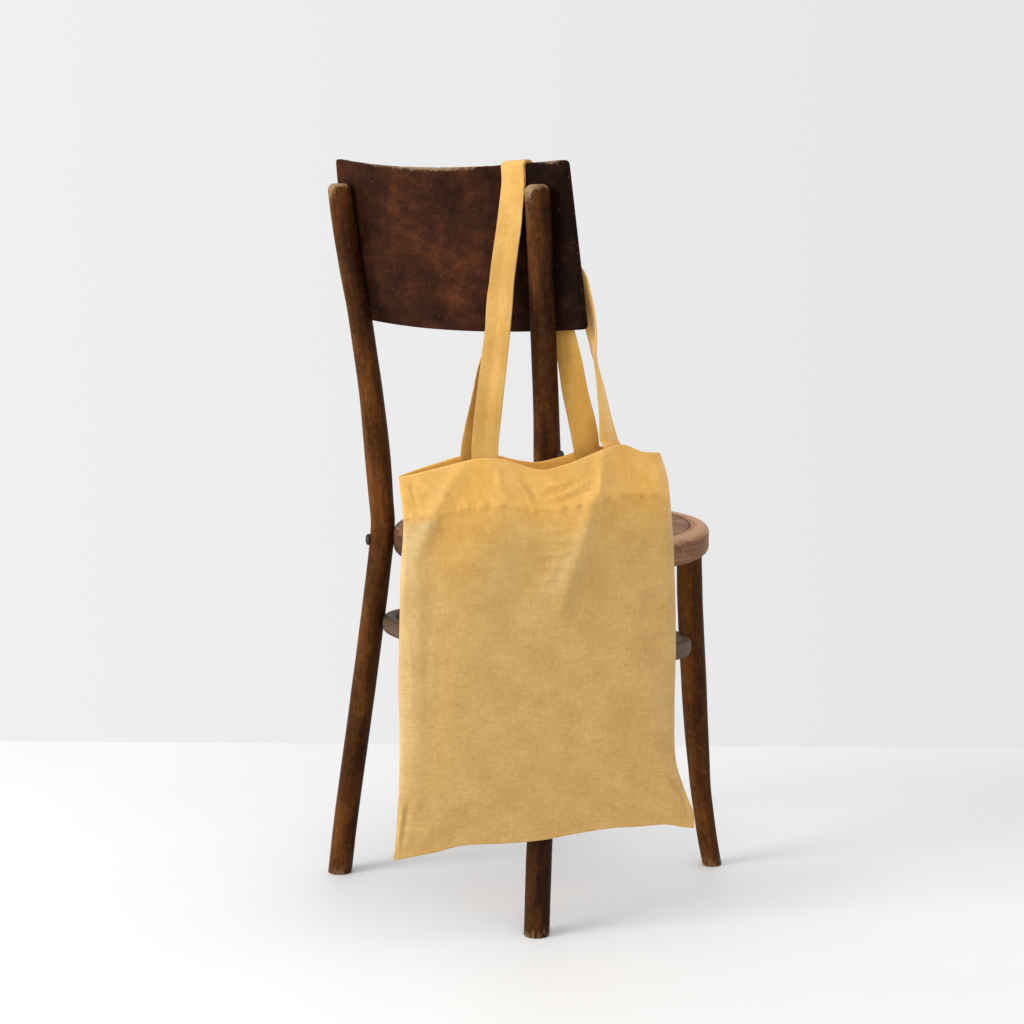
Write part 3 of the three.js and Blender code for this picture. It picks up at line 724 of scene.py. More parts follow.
def make_hoop():
    """A bent bar of a rounded oblong section, which slopes down towards the chair's front."""
    middle = HOOP_RADIUS - HOOP_WIDE / 2
    profile = []
    for angle in np.radians(np.arange(0, 360, 15)):
        c, s = math.cos(angle), math.sin(angle)
        wide, tall = (math.copysign(abs(v) ** HOOP_BULGE, v) for v in (c, s))
        profile.append((middle + HOOP_WIDE / 2 * wide, HOOP_TALL / 2 * tall))
    points, faces, flow = revolved(profile, ring_angles(180))
    tilt = math.atan(HOOP_SLOPE)
    c, s = math.cos(tilt), math.sin(tilt)
    y = points[:, 1] * c - points[:, 2] * s
    z = points[:, 1] * s + points[:, 2] * c
    points = np.stack([points[:, 0], y + HOOP_CENTRE_Y, z + HOOP_HEIGHT], -1)
    even = np.zeros(len(points))
    values = dict(flow=flow, wear_and_highlight=even + 0.12, patina_and_light=even)
    add_wood("hoop", points, faces, HOOP_WOOD, "hoop_wood", **values)


# The back board: one bent board, across from -1 to 1 and up from 0 to 1
SPLAT_LOW, SPLAT_HIGH = table("left right mid_y end_y mid_z end_z tilt", [
    (197.8, 199.8, -176.2, -152.0, 683.9, 692.4, 0.0),
    (190.8, 190.8, -198.7, -174.4, 870.7, 880.3, -1.3),
])
SPLAT_TALL = SPLAT_HIGH["mid_z"] - SPLAT_LOW["mid_z"]
GRAIN_HALF = 190


def splat_point(across, up):
    at = {key: SPLAT_LOW[key] + (SPLAT_HIGH[key] - SPLAT_LOW[key]) * up for key in SPLAT_LOW}
    bow = across * across
    return np.array(
        [
            at["left" if across < 0 else "right"] * across,
            at["mid_y"] + (at["end_y"] - at["mid_y"]) * bow,
            at["mid_z"] + (at["end_z"] - at["mid_z"]) * bow + at["tilt"] * across,
        ]
    )


BOARD_COLUMNS = 150
EDGE_STEPS = 5
BOARD_ROWS = 34
# How far in from the top, the bottom and the ends the board's wear reaches
TOP_WORN = 5.5
BOTTOM_WORN = 2.2
ENDS_WORN = 2.5
# Where the top edge is rubbed to bare wood: across, half length and strength of each patch
WORN_PATCHES = table("at half worn", [
    (-0.45, 0.30, 0.45),
    (-0.05, 0.26, 0.80),
    (0.26, 0.20, 0.62),
    (0.90, 0.10, 0.75),
])
# How much darker (below 0) or lighter (above 0) the board is painted: across, up, and half sizes of
# each cloud. The clouds by the left post and over the right end are painted shade.
PATINA_AND_SHADE = table("across up wide tall tone", [
    (-1.0, 1.0, 0.30, 0.35, 0.5),
    # Beside the left post: painted shadow
    (-0.82, 0.35, 0.16, 0.7, -0.9),
    (-0.62, 0.55, 0.14, 0.5, -0.3),
    (-0.38, 0.66, 0.16, 0.2, 0.25),
    (-0.10, 0.45, 0.30, 0.3, 0.15),
    (0.02, 0.48, 0.07, 0.06, 0.7),
    (0.30, 0.46, 0.06, 0.05, 0.6),
    (0.10, 0.20, 0.12, 0.05, 0.6),
    (-0.15, 0.08, 0.22, 0.10, -0.5),
    (-0.55, 0.05, 0.25, 0.20, -0.5),
    (0.25, 0.85, 0.35, 0.15, -0.35),
    (0.50, 0.40, 0.14, 0.8, -0.25),
    # Over the right end: painted shade
    (0.95, 0.50, 0.34, 1.2, -1.25),
])


def patina_and_light(across, up):
    total = 0
    for cloud in PATINA_AND_SHADE:
        apart = (across - cloud["across"]) / cloud["wide"], (up - cloud["up"]) / cloud["tall"]
        total += cloud["tone"] * math.exp(-(apart[0] ** 2) - apart[1] ** 2)
    return total


def board_section():
    """The board's section with rounded edges: pairs of height share and offset."""
    half = SPLAT_THICK / 2
    edge = SPLAT_ROUND / SPLAT_TALL
    rows = []
    for start, end, face, turn in ((edge, 1 - edge, half, 0), (1 - edge, edge, -half, math.pi)):
        rows += [(share, face) for share in np.linspace(start, end, BOARD_ROWS)]
        for a in np.linspace(turn, turn + math.pi, 2 * EDGE_STEPS)[1:-1]:
            off = (half - SPLAT_ROUND) * np.sign(math.cos(a)) + SPLAT_ROUND * math.cos(a)
            rows.append((end + edge * math.sin(a), off))
    return rows


def make_board():
    section = board_section()
    half_wide = SPLAT_HIGH["right"]
    corner_angles = np.radians((0, 18, 36, 54, 72, 83, 90))
    end = [1 - SPLAT_CORNER * (1 - math.sin(a)) / half_wide for a in corner_angles]
    stations = [-e for e in reversed(end)] + list(np.linspace(-0.95, 0.95, BOARD_COLUMNS)) + end
    sections, flow, rubbed_and_lit, stain = [], [], [], []
    for across in stations:
        to_end = (1 - abs(across)) * half_wide
        corner = max(0, SPLAT_CORNER - to_end)
        inset = (SPLAT_CORNER - math.sqrt(max(0, SPLAT_CORNER**2 - corner**2))) / SPLAT_TALL
        thin = 1 - 0.42 * max(0, 1 - to_end / SPLAT_ROUND) ** 2
        patch = sum(p["worn"] * bell(across, p["at"], p["half"]) for p in WORN_PATCHES)
        ring = []
        for up, off in section:
            share = inset + up * (1 - 2 * inset)
            point = splat_point(across, share)
            dip = 0.8 * noise.noise(Vector((across * 9, 0, 3))) * max(0, share - 0.93) / 0.07
            point[1] += off * thin
            point[2] -= abs(dip)
            ring.append(point)
            flow.append((off * MM, share * SPLAT_TALL * MM, across * GRAIN_HALF * MM))
            worn = patch * max(0, 1 - (1 - share) * SPLAT_TALL / TOP_WORN)
            worn += 0.3 * max(0, 1 - share * SPLAT_TALL / BOTTOM_WORN)
            worn += 0.2 * max(0, 1 - to_end / ENDS_WORN)
            rubbed_and_lit.append(min(1, worn))
            stain.append(patina_and_light(across, share))
        sections.append(np.array(ring))
    points, faces = lofted(sections)
    values = dict(flow=flow, wear_and_highlight=rubbed_and_lit, patina_and_light=stain)
    add_wood("back_board", points, faces, BOARD_WOOD, "board_wood", **values)


# Bolt heads on the rear legs: height, compass direction in the chair's frame, clearance of
# the leg, and size
BOLTS = table("name mirror z direction clear radius high", [
    ("bolt_left", -1, 418, 225, 1.2, 7, 4),
    ("bolt_right", 1, 548, 20, 0.2, 6, 4.2),
])


def make_bolt(name, mirror, z, direction, clear, radius, high):
    """A domed, slightly flattened head with a rounded rim."""
    profile = [(radius, 0), (radius, high * 0.3)]
    profile += arc((radius * 0.25, high * 0.3), radius * 0.75, 0, 88, 8)[1:]
    top = max(p[1] for p in profile)
    profile = [(r, h * high / top) for r, h in profile]
    sections = []
    angles = np.linspace(0, 2 * math.pi, 28, endpoint=False)
    leg = np.array([mirror * read(REAR_LEG, "z", z, "x"), read(REAR_LEG, "z", z, "y"), z])
    turn = math.radians(direction)
    out = np.array([math.cos(turn), math.sin(turn), 0])
    side = np.array([-math.sin(turn), math.cos(turn), 0])
    base = leg + out * (read(REAR_LEG, "z", z, "d") / 2 + clear)
    for r, h in [(radius, -2.0)] + profile:
        middle = base + out * h
        ring = [middle + side * r * math.cos(a) + np.array([0, 0, r * math.sin(a)]) for a in angles]
        sections.append(np.array(ring))
    points, faces = lofted(sections)
    flow = (points - base) * MM
    points = to_row(turned_points(points))
    add_piece(f"{name}_steel", points, faces, STEEL, "bolt_steel", [name], flow=flow)


def make_chair():
    for side, mirror in (("left", -1), ("right", 1)):
        make_leg(f"rear_leg_{side}", REAR_LEG, mirror, POST_ROUND, 0.4 * mirror)
        make_leg(f"front_leg_{side}", FRONT_LEG, mirror, 0, 0.7 * mirror)
    make_seat_ring()
    make_seat_panel()
    make_hoop()
    make_board()
    for bolt in BOLTS:
        make_bolt(**bolt)


# The bag's panels. One row per height up the bag, in fractions of its side seams.
# xl, zl and xr, zr are the silhouette's left and right points, yl and yr the side seams'
# depth, back the depth of the back panel's middle, and thick the bag's thickness there.
BAG_ROWS = table("v xl zl xr zr yl yr back thick", [
    (0.00, -257, 104, 99, 113.5, -254, -254, -254.3, 1.8),
    (0.04, -254, 122, 98, 131, -252, -252, -252.3, 5),
    (0.10, -251, 149, 88, 159, -248, -248, -249.1, 9),
    (0.18, -247.5, 184, 79, 194, -243, -243, -245.1, 14),
    (0.31, -244.5, 239, 79.5, 251, -237, -235, -238.1, 20),
    (0.45, -245, 299, 82, 311, -233, -230, -231.3, 24),
    (0.60, -243, 363, 82.5, 375, -232, -226, -224.3, 27),
    (0.75, -241, 427, 80.5, 439, -232, -223, -222.0, 28),
    (0.87, -238, 478, 77.5, 491, -234, -219, -221.5, 28),
    (0.94, -240.5, 508, 74, 521, -236, -217, -221.7, 29),
    (1.00, -244, 533, 66, 547, -238, -215, -222.1, 30),
])
# How far the top edges stand above, and the bottom edge below, a line from seam to seam
TOP_EDGE = table("u front back", [
    (-1.00, 0, 0),
    (-0.72, 8, 9.5),
    (-0.45, 15, 17),
    (-0.25, 12, 13),
    (-0.15, 6, 8),
    (0.03, -3, 2),
    (0.21, 0.5, 5),
    (0.37, 8, 11),
    (0.51, 15, 14),
    (0.66, 16.5, 10),
    (0.83, 5.5, 4),
    (1.00, 0, 0),
])
BOTTOM_EDGE = table("u rise", [
    (-1.00, 0),
    (-0.75, 4),
    (-0.55, 8.8),
    (-0.25, 5.8),
    (0.00, 5.7),
    (0.16, 8.4),
    (0.45, 10.8),
    (0.60, 9.2),
    (0.80, 8.2),
    (0.92, 2.8),
    (1.00, 0),
])
# Soft folds: a ridge from (x0, z0) to (x1, z1), highest at its middle. high is out of the
# bag above 0 and into it below, bow is how far the line bends sideways at its middle, lean is
# how steeply the cloth falls away on the line's right, and reach how far that goes.
FOLD_COLUMNS = "x0 z0 x1 z1 wide high bow lean reach"
FOLDS = dict(
    front=table(FOLD_COLUMNS, [
        (-164, 558, -229, 432, 9, 6.0, 8, 0.08, 34),
        (-180, 548, -238, 430, 17, 2.5),
        (-226, 440, -232, 200, 10, 2.8),
        (-207, 455, -214, 190, 11, -2.0),
        (-10, 585, -18, 490, 8, 3.5),
        (-9, 544, -70, 358, 13, 8.5, 0, 0.06, 110),
        (-30, 520, -96, 356, 18, 2.6),
        (28, 640, 38, 400, 27, -7),
        (58, 575, 72, 440, 10, 4),
        (44, 480, 60, 230, 14, -2.0),
        (60, 190, 94, 124, 9, 3),
        (-228, 180, -252, 112, 9, 3),
    ]),
    back=table(FOLD_COLUMNS, [
        (-160, 545, -222, 420, 16, 4),
        (8, 535, 52, 400, 14, 4),
        (-190, 430, -205, 200, 13, 3),
        (20, 400, 40, 190, 14, 3),
    ]),
)
# Small creases of the cloth, in the same form
CREASES = dict(
    front=table(FOLD_COLUMNS, [
        (-113, 526, -96, 497, 1.5, 0.9, -3), (-106, 523, -90, 500, 3.0, -0.8, -3),
        (-84, 516, -50, 522, 2.2, 0.8, -2), (-80, 511, -52, 514, 2.4, -0.8, -1),
        (-60, 531, -30, 524, 2.6, 0.6, 2), (-150, 520, -128, 500, 3.0, 0.7, 2),
        (-196, 519, -178, 498, 3.2, -0.8, -2), (-17, 541, -18, 504, 1.4, 0.7, 0),
        (22, 545, 24, 506, 1.6, 0.6, 1), (44, 503, 72, 502, 1.6, -0.9, 1),
        (48, 520, 74, 512, 3.0, 0.7, -1), (-242, 520, -214, 514, 2.6, 0.8, 1),
        (-238, 505, -210, 497, 2.4, -0.8, 2), (-233, 490, -206, 470, 3.4, 0.9, -2),
        (-236, 455, -239, 372, 2.6, 0.4, 1), (-238, 372, -234, 262, 2.6, 0.4, -3),
        (-240, 262, -241, 170, 2.6, 0.4, 3), (-204, 372, -209, 250, 4.4, 0.3, 3),
        (-186, 330, -196, 205, 7, 0.3, -4), (-120, 470, -70, 440, 6.0, 0.6, 4),
        (-100, 400, -40, 385, 5.0, 0.5, -3), (-52, 452, -80, 404, 5.0, 0.8, 3),
        (70, 455, 74, 330, 3.2, 0.4, 2), (70, 300, 66, 215, 4.0, 0.4, -2),
        (76, 182, 98, 128, 2.6, 1.4, -2), (68, 176, 92, 126, 3.4, -1.2, -3),
        (40, 150, 84, 126, 5.0, 0.9, 3), (-244, 172, -252, 116, 2.6, 1.2, 1),
        (-236, 170, -248, 118, 3.4, -1.0, 2), (-240, 140, -190, 122, 5.5, 0.9, -3),
        (-78, 503, -24, 527, 2.6, 0.9, 2), (-66, 500, -18, 515, 2.6, -0.8, -1),
        (-102, 540, -62, 521, 3.4, 0.8, -3), (-94, 546, -48, 532, 3.4, -0.7, -2),
        (-136, 545, -122, 503, 3.6, 0.6, 3), (-160, 512, -146, 498, 2.6, 0.7, 0),
        (-174, 511, -168, 496, 2.6, 0.6, 0), (-226, 534, -200, 516, 3.6, 0.8, 2),
        (-232, 528, -226, 506, 3.0, -0.7, 1), (32, 543, 60, 520, 3.2, 0.9, 3),
        (40, 554, 68, 534, 3.2, -0.8, 2), (28, 520, 58, 508, 2.8, 0.6, 1),
        (0, 540, 10, 508, 3.0, -0.6, 1), (-92, 468, -46, 472, 2.8, 0.5, 2),
        (-86, 455, -42, 457, 2.6, 0.45, -1), (-94, 440, -50, 444, 2.8, 0.5, 1),
        (-88, 428, -48, 425, 2.6, 0.4, -1), (-98, 414, -56, 416, 2.8, 0.45, 1),
        (-104, 400, -62, 399, 2.6, 0.4, -1), (-190, 455, -150, 449, 3.4, 0.4, -2),
        (-176, 430, -128, 434, 3.6, 0.4, 2),
    ]),
    back=table(FOLD_COLUMNS, [
        (-196, 520, -176, 497, 3.0, 0.8, 2), (-90, 522, -60, 512, 2.6, 0.8, -2),
        (18, 520, 34, 500, 2.6, -0.8, 2), (-232, 450, -236, 330, 2.6, 0.9, -2),
        (-150, 420, -110, 340, 7.0, 0.8, 5), (60, 440, 66, 300, 3.0, 0.8, 2),
        (-60, 330, -30, 230, 8.0, 0.7, -5), (62, 186, 92, 128, 3.4, 1.2, -2),
        (-238, 172, -250, 118, 3.4, 1.1, 2),
    ]),
)
CREASE_DEPTH = 2.5
PUCKER_HIGH = 0.8
PUCKER_LONG = 7.0
PUCKER_REACH = 26
STITCH_DENT = 1.5
CRINKLE_HIGH = 0.55


def fold_heights(folds, x, z, fade):
    high = np.zeros_like(x)
    for fold in folds:
        dx, dz = fold["x1"] - fold["x0"], fold["z1"] - fold["z0"]
        size = math.hypot(dx, dz)
        along = ((x - fold["x0"]) * dx + (z - fold["z0"]) * dz) / size**2
        held = np.clip(along, 0, 1)
        bow = fold.get("bow", 0) * np.sin(math.pi * held)
        px = x - fold["x0"] - held * dx - bow * dz / size
        pz = z - fold["z0"] - held * dz + bow * dx / size
        share = np.sin(math.pi * held) ** fade
        high += fold["high"] * share * np.exp(-((np.hypot(px, pz) / fold["wide"]) ** 2))
        if "lean" in fold:
            right = np.maximum(0, (px * -dz + pz * dx) / size)
            reach = fold["reach"]
            fall = (1 - np.exp(-right / reach)) * np.exp(-right / reach / 2)
            high -= fold["lean"] * share * reach * fall
    return high


def crinkles(side, x, z, v):
    """Uneven small waves all over, and puckers beside the hem's stitch line."""
    seed = 0 if side == "front" else 60
    found = []
    for px, pz, height in zip(x.ravel(), z.ravel(), v.ravel()):
        broad = noise.noise(Vector((px / 46, pz / 70, seed)))
        fine = noise.noise(Vector((px / 15, pz / 24, seed + 9)))
        high = CRINKLE_HIGH * (1.3 * broad + 0.45 * fine)
        from_stitch = (height - HEM_STARTS) * PANEL_HEIGHT
        if abs(from_stitch) < PUCKER_REACH:
            drag = noise.noise(Vector((px / PUCKER_LONG, pz / 30, seed + 20)))
            high += PUCKER_HIGH * 2.2 * drag * math.exp(-((from_stitch / 9) ** 2))
            pull = 0.55 + 2 * noise.noise(Vector((px / 11, 0, seed + 40)))
            high -= STITCH_DENT * max(0, pull) * math.exp(-((from_stitch / DENT_WIDE) ** 2))
        found.append(high)
    return np.array(found).reshape(x.shape)


def panel_grid(side, us, vs, fine=True):
    """The middle of a panel's cloth on a grid of u across, -1 to 1, and v up, 0 to 1."""
    row = {key: column_at(BAG_ROWS, "v", vs, key)[:, None] for key in BAG_ROWS[0] if key != "v"}
    top = column_at(TOP_EDGE, "u", us, side)[None, :]
    bottom = column_at(BOTTOM_EDGE, "u", us, "rise")[None, :]
    u = np.asarray(us)[None, :]
    v = np.asarray(vs)[:, None]
    across = (u + 1) / 2
    x = row["xl"] + (row["xr"] - row["xl"]) * across
    top_share = np.maximum(0, (v - TOP_BEND_STARTS) / (1 - TOP_BEND_STARTS)) ** 2
    bottom_share = np.maximum(0, 1 - v / BOTTOM_BEND_ENDS) ** 2
    z = row["zl"] + (row["zr"] - row["zl"]) * across + top * top_share + bottom * bottom_share
    full = np.sqrt(np.maximum(0, 1 - np.abs(u) ** SIDE_ROUNDNESS))
    seam = row["yl"] + (row["yr"] - row["yl"]) * across
    middle = row["back"] - row["thick"] / 2
    sheet = seam * (1 - full) + middle * full
    least = CLOTH / 2
    closed = np.minimum(1, v / FOLDS_START)
    depth = least + np.maximum(0, row["thick"] / 2 - least) * full
    depth = depth + fold_heights(FOLDS[side], x, z, FOLD_FADE) * full * closed
    if fine:
        near_edge = np.minimum(1, full / 0.35) * np.minimum(1, v / 0.03)
        small = CREASE_DEPTH * fold_heights(CREASES[side], x, z, 0.6)
        small = small + crinkles(side, x, z, v + 0 * x) * np.minimum(1, v / 0.1)
        depth = depth + small * near_edge
    y = sheet - OUTSIDE[side] * depth
    return np.stack([x + 0 * y, y, z + 0 * y], -1)


def grid_normals(grid):
    """Unit normals of a panel grid, all towards -Y."""
    across = np.gradient(grid, axis=1)
    up = np.gradient(grid, axis=0)
    normal = unit(np.cross(across, up))
    return np.where(normal[..., 1:2] > 0, -normal, normal)


def crowded(count):
    """Values from -1 to 1, closer together towards both ends."""
    k = np.linspace(-1, 1, count)
    return np.sign(k) * (1 - (1 - np.abs(k)) ** COLUMN_CROWDING)


def left_of_ridge(u, v):
    """1 on the lit slope left of the left ridge, painted paler as a sheen, 0 on its other side."""
    return 1 / (1 + np.exp(np.clip((u + 0.60 + (1 - v) * 1.5) / 0.022, -30, 30)))


def hem_dye_and_light(u, v):
    """How much dye colour the cloth shows: the hem most, fading unevenly below its stitch line as
    painted bounce light, and less on the lit slope left of the left ridge, as a painted highlight.
    """
    below = np.maximum(0, HEM_STARTS - v) * PANEL_HEIGHT
    # How far the painted bounce light below the stitch line reaches
    reach = 26 + 40 * bell(u, -0.66, 0.25) + 22 * bell(u, 0.5, 0.3)
    hem = 0.52 + 0.2 * bell(u, -0.42, 0.14) + 0.1 * np.sin(9 * u + 1)
    # Less dye colour along the lit slope of the left ridge, as a painted highlight
    hem = hem - 0.3 * bell(u + 0.67 + (1 - v) * 1.5, 0, 0.07)
    edges = 0.2 * np.maximum(0, 1 - v * PANEL_HEIGHT / 14)
    edges = edges + 0.12 * np.maximum(0, np.abs(u) - 0.97) / 0.03
    # Less dye colour below the hem on the ridge's lit slope, as a painted highlight
    lit_paler = 1 - 0.8 * left_of_ridge(u, v) * np.minimum(1, below / 8)
    return np.maximum(0, hem) * np.exp(-((below / reach) ** 1.5)) * lit_paler + edges


# How much lighter the cloth is painted in red, green and blue where it catches the light: a painted
# sheen
PAINTED_SHEEN = (0.10, 0.22, 0.60)


def panel_tone(side, u, v):
    """How light the cloth is in red, green and blue. The hem is made lighter than the
    body, the stitches' dent unevenly darker as painted shade, and, on the front, the lit left side,
    the lit slope left of the left ridge and a lit slanted streak paler as a painted sheen."""
    from_stitch = (v - HEM_STARTS) * PANEL_HEIGHT
    hem = np.clip(from_stitch / 6 + 0.5, 0, 1)
    # The stitches' dent, painted darker in dashes as shade
    uneven = np.maximum(0, 0.35 + 0.65 * np.sin(31 * u) * np.sin(13 * u + 2))
    tone = 1 + 0.14 * hem - 0.15 * uneven * bell(from_stitch, 0, DENT_WIDE)
    if side == "back":
        return tone[..., None] * np.ones(3)
    # Painted sheen where the cloth faces the light
    pale = 0.9 * left_of_ridge(u, v) * bell(v, 0.82, 0.14)
    pale = pale + 0.6 * bell(u, -1, 0.15) * np.clip(v / 0.4, 0, 1)
    pale = pale + 0.5 * bell(u - 0.50 + (1 - v) * 1.41, 0, 0.06) * bell(v, 0.76, 0.12)
    pale = np.minimum(1, pale) * np.clip(-from_stitch / 8, 0, 1)
    return tone[..., None] * (1 + pale[..., None] * np.array(PAINTED_SHEEN))


# Rows either side of the hem's stitch line, and at the panel's bottom and top edge
STITCH_ROWS = (-0.016, -0.010, -0.006, -0.004, -0.002, 0, 0.002, 0.004, 0.007, 0.011)
EDGE_ROWS = (0, 0.004, 0.008, 0.996, 1)


def panel_rows():
    """Rows up a panel, closer together in its upper part and about the stitch line."""
    low_rows = np.linspace(0, HIGH_STARTS, LOW_ROWS)
    high_rows = np.linspace(HIGH_STARTS, 1, HIGH_ROWS)[1:]
    kept = [*EDGE_ROWS, *(HEM_STARTS + np.array(STITCH_ROWS))]
    body = [v for v in (*low_rows, *high_rows) if min(abs(v - k) for k in kept) > ROW_APART]
    return np.array(sorted(kept + body))


def rim_order(rows, columns):
    """The places of a grid's border points, once round."""
    rim = list(range(columns - 1))
    rim += [j * columns + columns - 1 for j in range(rows - 1)]
    rim += [(rows - 1) * columns + i for i in range(columns - 1, 0, -1)]
    return rim + [j * columns for j in range(rows - 1, 0, -1)]


def rim_points(grid, outer, inner, rim):
    """The middle of the rounded rim: half the cloth's thickness beyond each border point."""
    rows, columns = grid.shape[:2]
    flat = grid.reshape(-1, 3)
    found = []
    for a in rim:
        j, i = divmod(a, columns)
        towards = (j + np.sign(rows // 2 - j) * (j in (0, rows - 1))) * columns
        towards += i + np.sign(columns // 2 - i) * (i in (0, columns - 1))
        out = unit(flat[a] - flat[int(towards)])
        middle = (outer[a] + inner[a]) / 2
        found.append(middle + out * np.linalg.norm(outer[a] - middle))
    return np.array(found)


def three_layers(values, inside, rim):
    """Values of a panel's outer face, inner face and rim, one after the other."""
    return np.concatenate([values, inside, values[rim]])


def make_panel(side):
    """One cloth panel: outer and inner face joined by a rounded rim, the hem doubled inside."""
    us, vs = crowded(PANEL_COLUMNS), panel_rows()
    grid = panel_grid(side, us, vs)
    normal = grid_normals(grid) * OUTSIDE[side]
    hem_share = np.clip((vs - HEM_STARTS + 0.004) / 0.004, 0, 1)
    edge_share = np.clip((1 - np.abs(us)) / 0.01, 0, 1)
    doubled = hem_share[:, None] * edge_share[None, :]
    inside = CLOTH / 2 + (HEM_INSIDE - CLOTH / 2) * doubled
    outer = (grid + normal * CLOTH / 2).reshape(-1, 3)
    inner = (grid - normal * inside[..., None]).reshape(-1, 3)
    rows, columns = grid.shape[:2]
    far = rows * columns
    rim = rim_order(rows, columns)
    points = np.concatenate([outer, inner, rim_points(grid, outer, inner, rim)])
    faces = strip_faces(columns, rows)
    faces += [tuple(reversed(face)) for face in strip_faces(columns, rows, far)]
    mid = 2 * far
    for k, a in enumerate(rim):
        n = (k + 1) % len(rim)
        b = rim[n]
        faces.append((b, a, mid + k, mid + n))
        faces.append((mid + n, mid + k, far + a, far + b))
    width = read(BAG_ROWS, "v", 0.5, "xr") - read(BAG_ROWS, "v", 0.5, "xl")
    flow_u, flow_v = np.meshgrid(us * width / 2, vs * PANEL_HEIGHT)
    shift = 0 if side == "front" else 700
    flow = np.stack([flow_u.ravel() + shift, flow_v.ravel(), 0 * flow_u.ravel()], -1) * MM
    layers = np.broadcast_to(hem_share[:, None], (rows, columns)).ravel()
    dye = hem_dye_and_light(us[None, :], vs[:, None]).ravel()
    tone = panel_tone(side, us[None, :], vs[:, None]).reshape(-1, 3)
    return add_piece(
        f"bag_{side}_cloth", to_row(points), outward(points, faces), LINEN, "bag_cloth",
        [f"bag_{side}"], flow=three_layers(flow, flow, rim), double=three_layers(layers, layers, rim),
        # More dye colour on the inner face, as painted shade of the bag's inside
        warm=three_layers(dye, np.clip(dye + 0.5, 0, 1), rim), tone=three_layers(tone, tone, rim),
    )


# The handles. rise and fall are the free stretches: the middle of the band, and turn, the
# compass direction of its width. over and under lie on the board, up its rear face and down
# its seat face, and are pairs of the chair's own X and height. fold is how far a lengthwise
# crease stands out of the band, crease where it is across the band, -1 to 1, and roll how far
# the band's left edge is rolled back.
TOUCH = 0.3
BENDS = ("fold", "crease", "roll")
KNOT_COLUMNS = "x y z turn fold crease roll"
FRONT_HANDLE = dict(
    side="front",
    left=dict(u=-0.388, turn=180),
    right=dict(u=0.59, turn=0, twist=15),
    lift=3 * TOUCH + HANDLE_THICK,
    rise=table(KNOT_COLUMNS, [
        (-147.7, -246.4, 570, 176, -1.6, 0.1, 1.0),
        (-144.2, -244.8, 602, 163, -2.8, 0.1, 2.2),
        (-137.0, -239.5, 653, 147, -3.4, 0.14, 3.0),
        (-129.9, -233.0, 700, 138, -3.6, 0.18, 3.4),
        (-122.9, -226.5, 756, 137, -3.0, 0.18, 2.4),
        (-112.9, -219.5, 810, 138, -1.4, 0.1, 0.8),
    ]),
    over=[(125.0, 856), (125.6, 868)],
    under=[(128.0, 866), (137.6, 850), (150.0, 820), (162.2, 790), (173.0, 765)],
    fall=table(KNOT_COLUMNS, [
        (-38.7, -234.0, 746, 122, 1.0, 0.0),
        (-28.4, -235.3, 713, 109, 2.0, 0.0),
        (-24.0, -235.8, 696, 100, 2.4, 0.0),
        (-21.2, -236.3, 679, 90, 2.8, 0.0),
        (-19.5, -237.2, 657, 75, 3.0, 0.0),
        (-14.2, -239.0, 634.5, 62, 2.8, -0.2),
        (-10.5, -241.0, 612, 54, 2.6, -0.3),
        (-6.8, -241.5, 588.5, 46, 2.2, -0.35),
        (-1.4, -237.5, 566.5, 33, 1.6, -0.35),
    ]),
)
BACK_HANDLE = dict(
    side="back",
    left=dict(u=-0.43, turn=0),
    right=dict(u=0.42, turn=180),
    lift=TOUCH,
    rise=table(KNOT_COLUMNS, [
        (-150.5, -221.8, 586, 14, 0.8),
        (-144.5, -219.0, 618, 28, 1.2),
        (-141.4, -214.5, 652, 54, 1.6),
        (-133.5, -208.5, 690, 88, 1.6),
        (-125.0, -207.6, 730, 113, 1.2),
        (-113.8, -207.4, 775, 126, 0.6),
    ]),
    over=[(125.0, 852), (125.6, 868)],
    under=[
        (128.0, 866), (132.8, 850), (139.6, 820), (146.2, 790), (152.0, 763), (158.4, 730),
        (163.8, 700),
    ],
    fall=table(KNOT_COLUMNS, [
        (-42.8, -220.4, 655, 138, 0.8, 0.0),
        (-36.8, -221.6, 620, 146, 1.0, 0.1),
        (-30.2, -222.8, 592, 155, 0.8, 0.1),
        (-26.4, -223.8, 572, 168, 0.4, 0.0),
    ]),
)
# Steps of a band round the board's top edge, and the height of the bend's middle below it
BEND_STEPS = 6
BEND_DROP = 2


def board_row(across, z, side, lift):
    """A band row on the board: side -1 on its rear face, 1 on its seat face."""
    low_half, high_half = SPLAT_LOW["right"], SPLAT_HIGH["right"]
    share = across / high_half
    for _ in range(3):
        low, high = splat_point(share, 0), splat_point(share, 1)
        up = (z - low[2]) / (high[2] - low[2])
        share = across / (low_half + (high_half - low_half) * up)
    at = splat_point(share, up)
    width = unit(at - splat_point(share + 0.01, up))
    out = unit(np.array([width[1], -width[0], 0]))
    at = at + out * side * (SPLAT_THICK / 2 + lift + HANDLE_THICK / 2)
    at[2] = z
    return dict(at=turned_points(at), width=turned_points(width), fold=0, crease=0, roll=0)


def board_rows(handle):
    """Rows up the rear face, round the top edge and down the seat face."""
    over, under, lift = handle["over"], handle["under"], handle["lift"]
    off = lift + HANDLE_THICK / 2
    start, end = over[-1][0], under[0][0]
    rows = [board_row(across, z, -1, lift) for across, z in over]
    for share in np.arange(BEND_STEPS + 1) / BEND_STEPS:
        angle = math.pi * (share - 0.5)
        across = start + (end - start) * share
        top = splat_point(across / SPLAT_HIGH["right"], 1)[2] - BEND_DROP
        z = top + (BEND_DROP + off) * math.cos(angle)
        rows.append(board_row(across, z, math.sin(angle), lift))
    return rows + [board_row(across, z, 1, lift) for across, z in under]


def free_row(row):
    turn = math.radians(row["turn"])
    width = np.array([math.cos(turn), math.sin(turn), 0])
    bends = {key: row.get(key, 0) for key in BENDS}
    return dict(at=np.array([row["x"], row["y"], row["z"]], float), width=width, **bends)


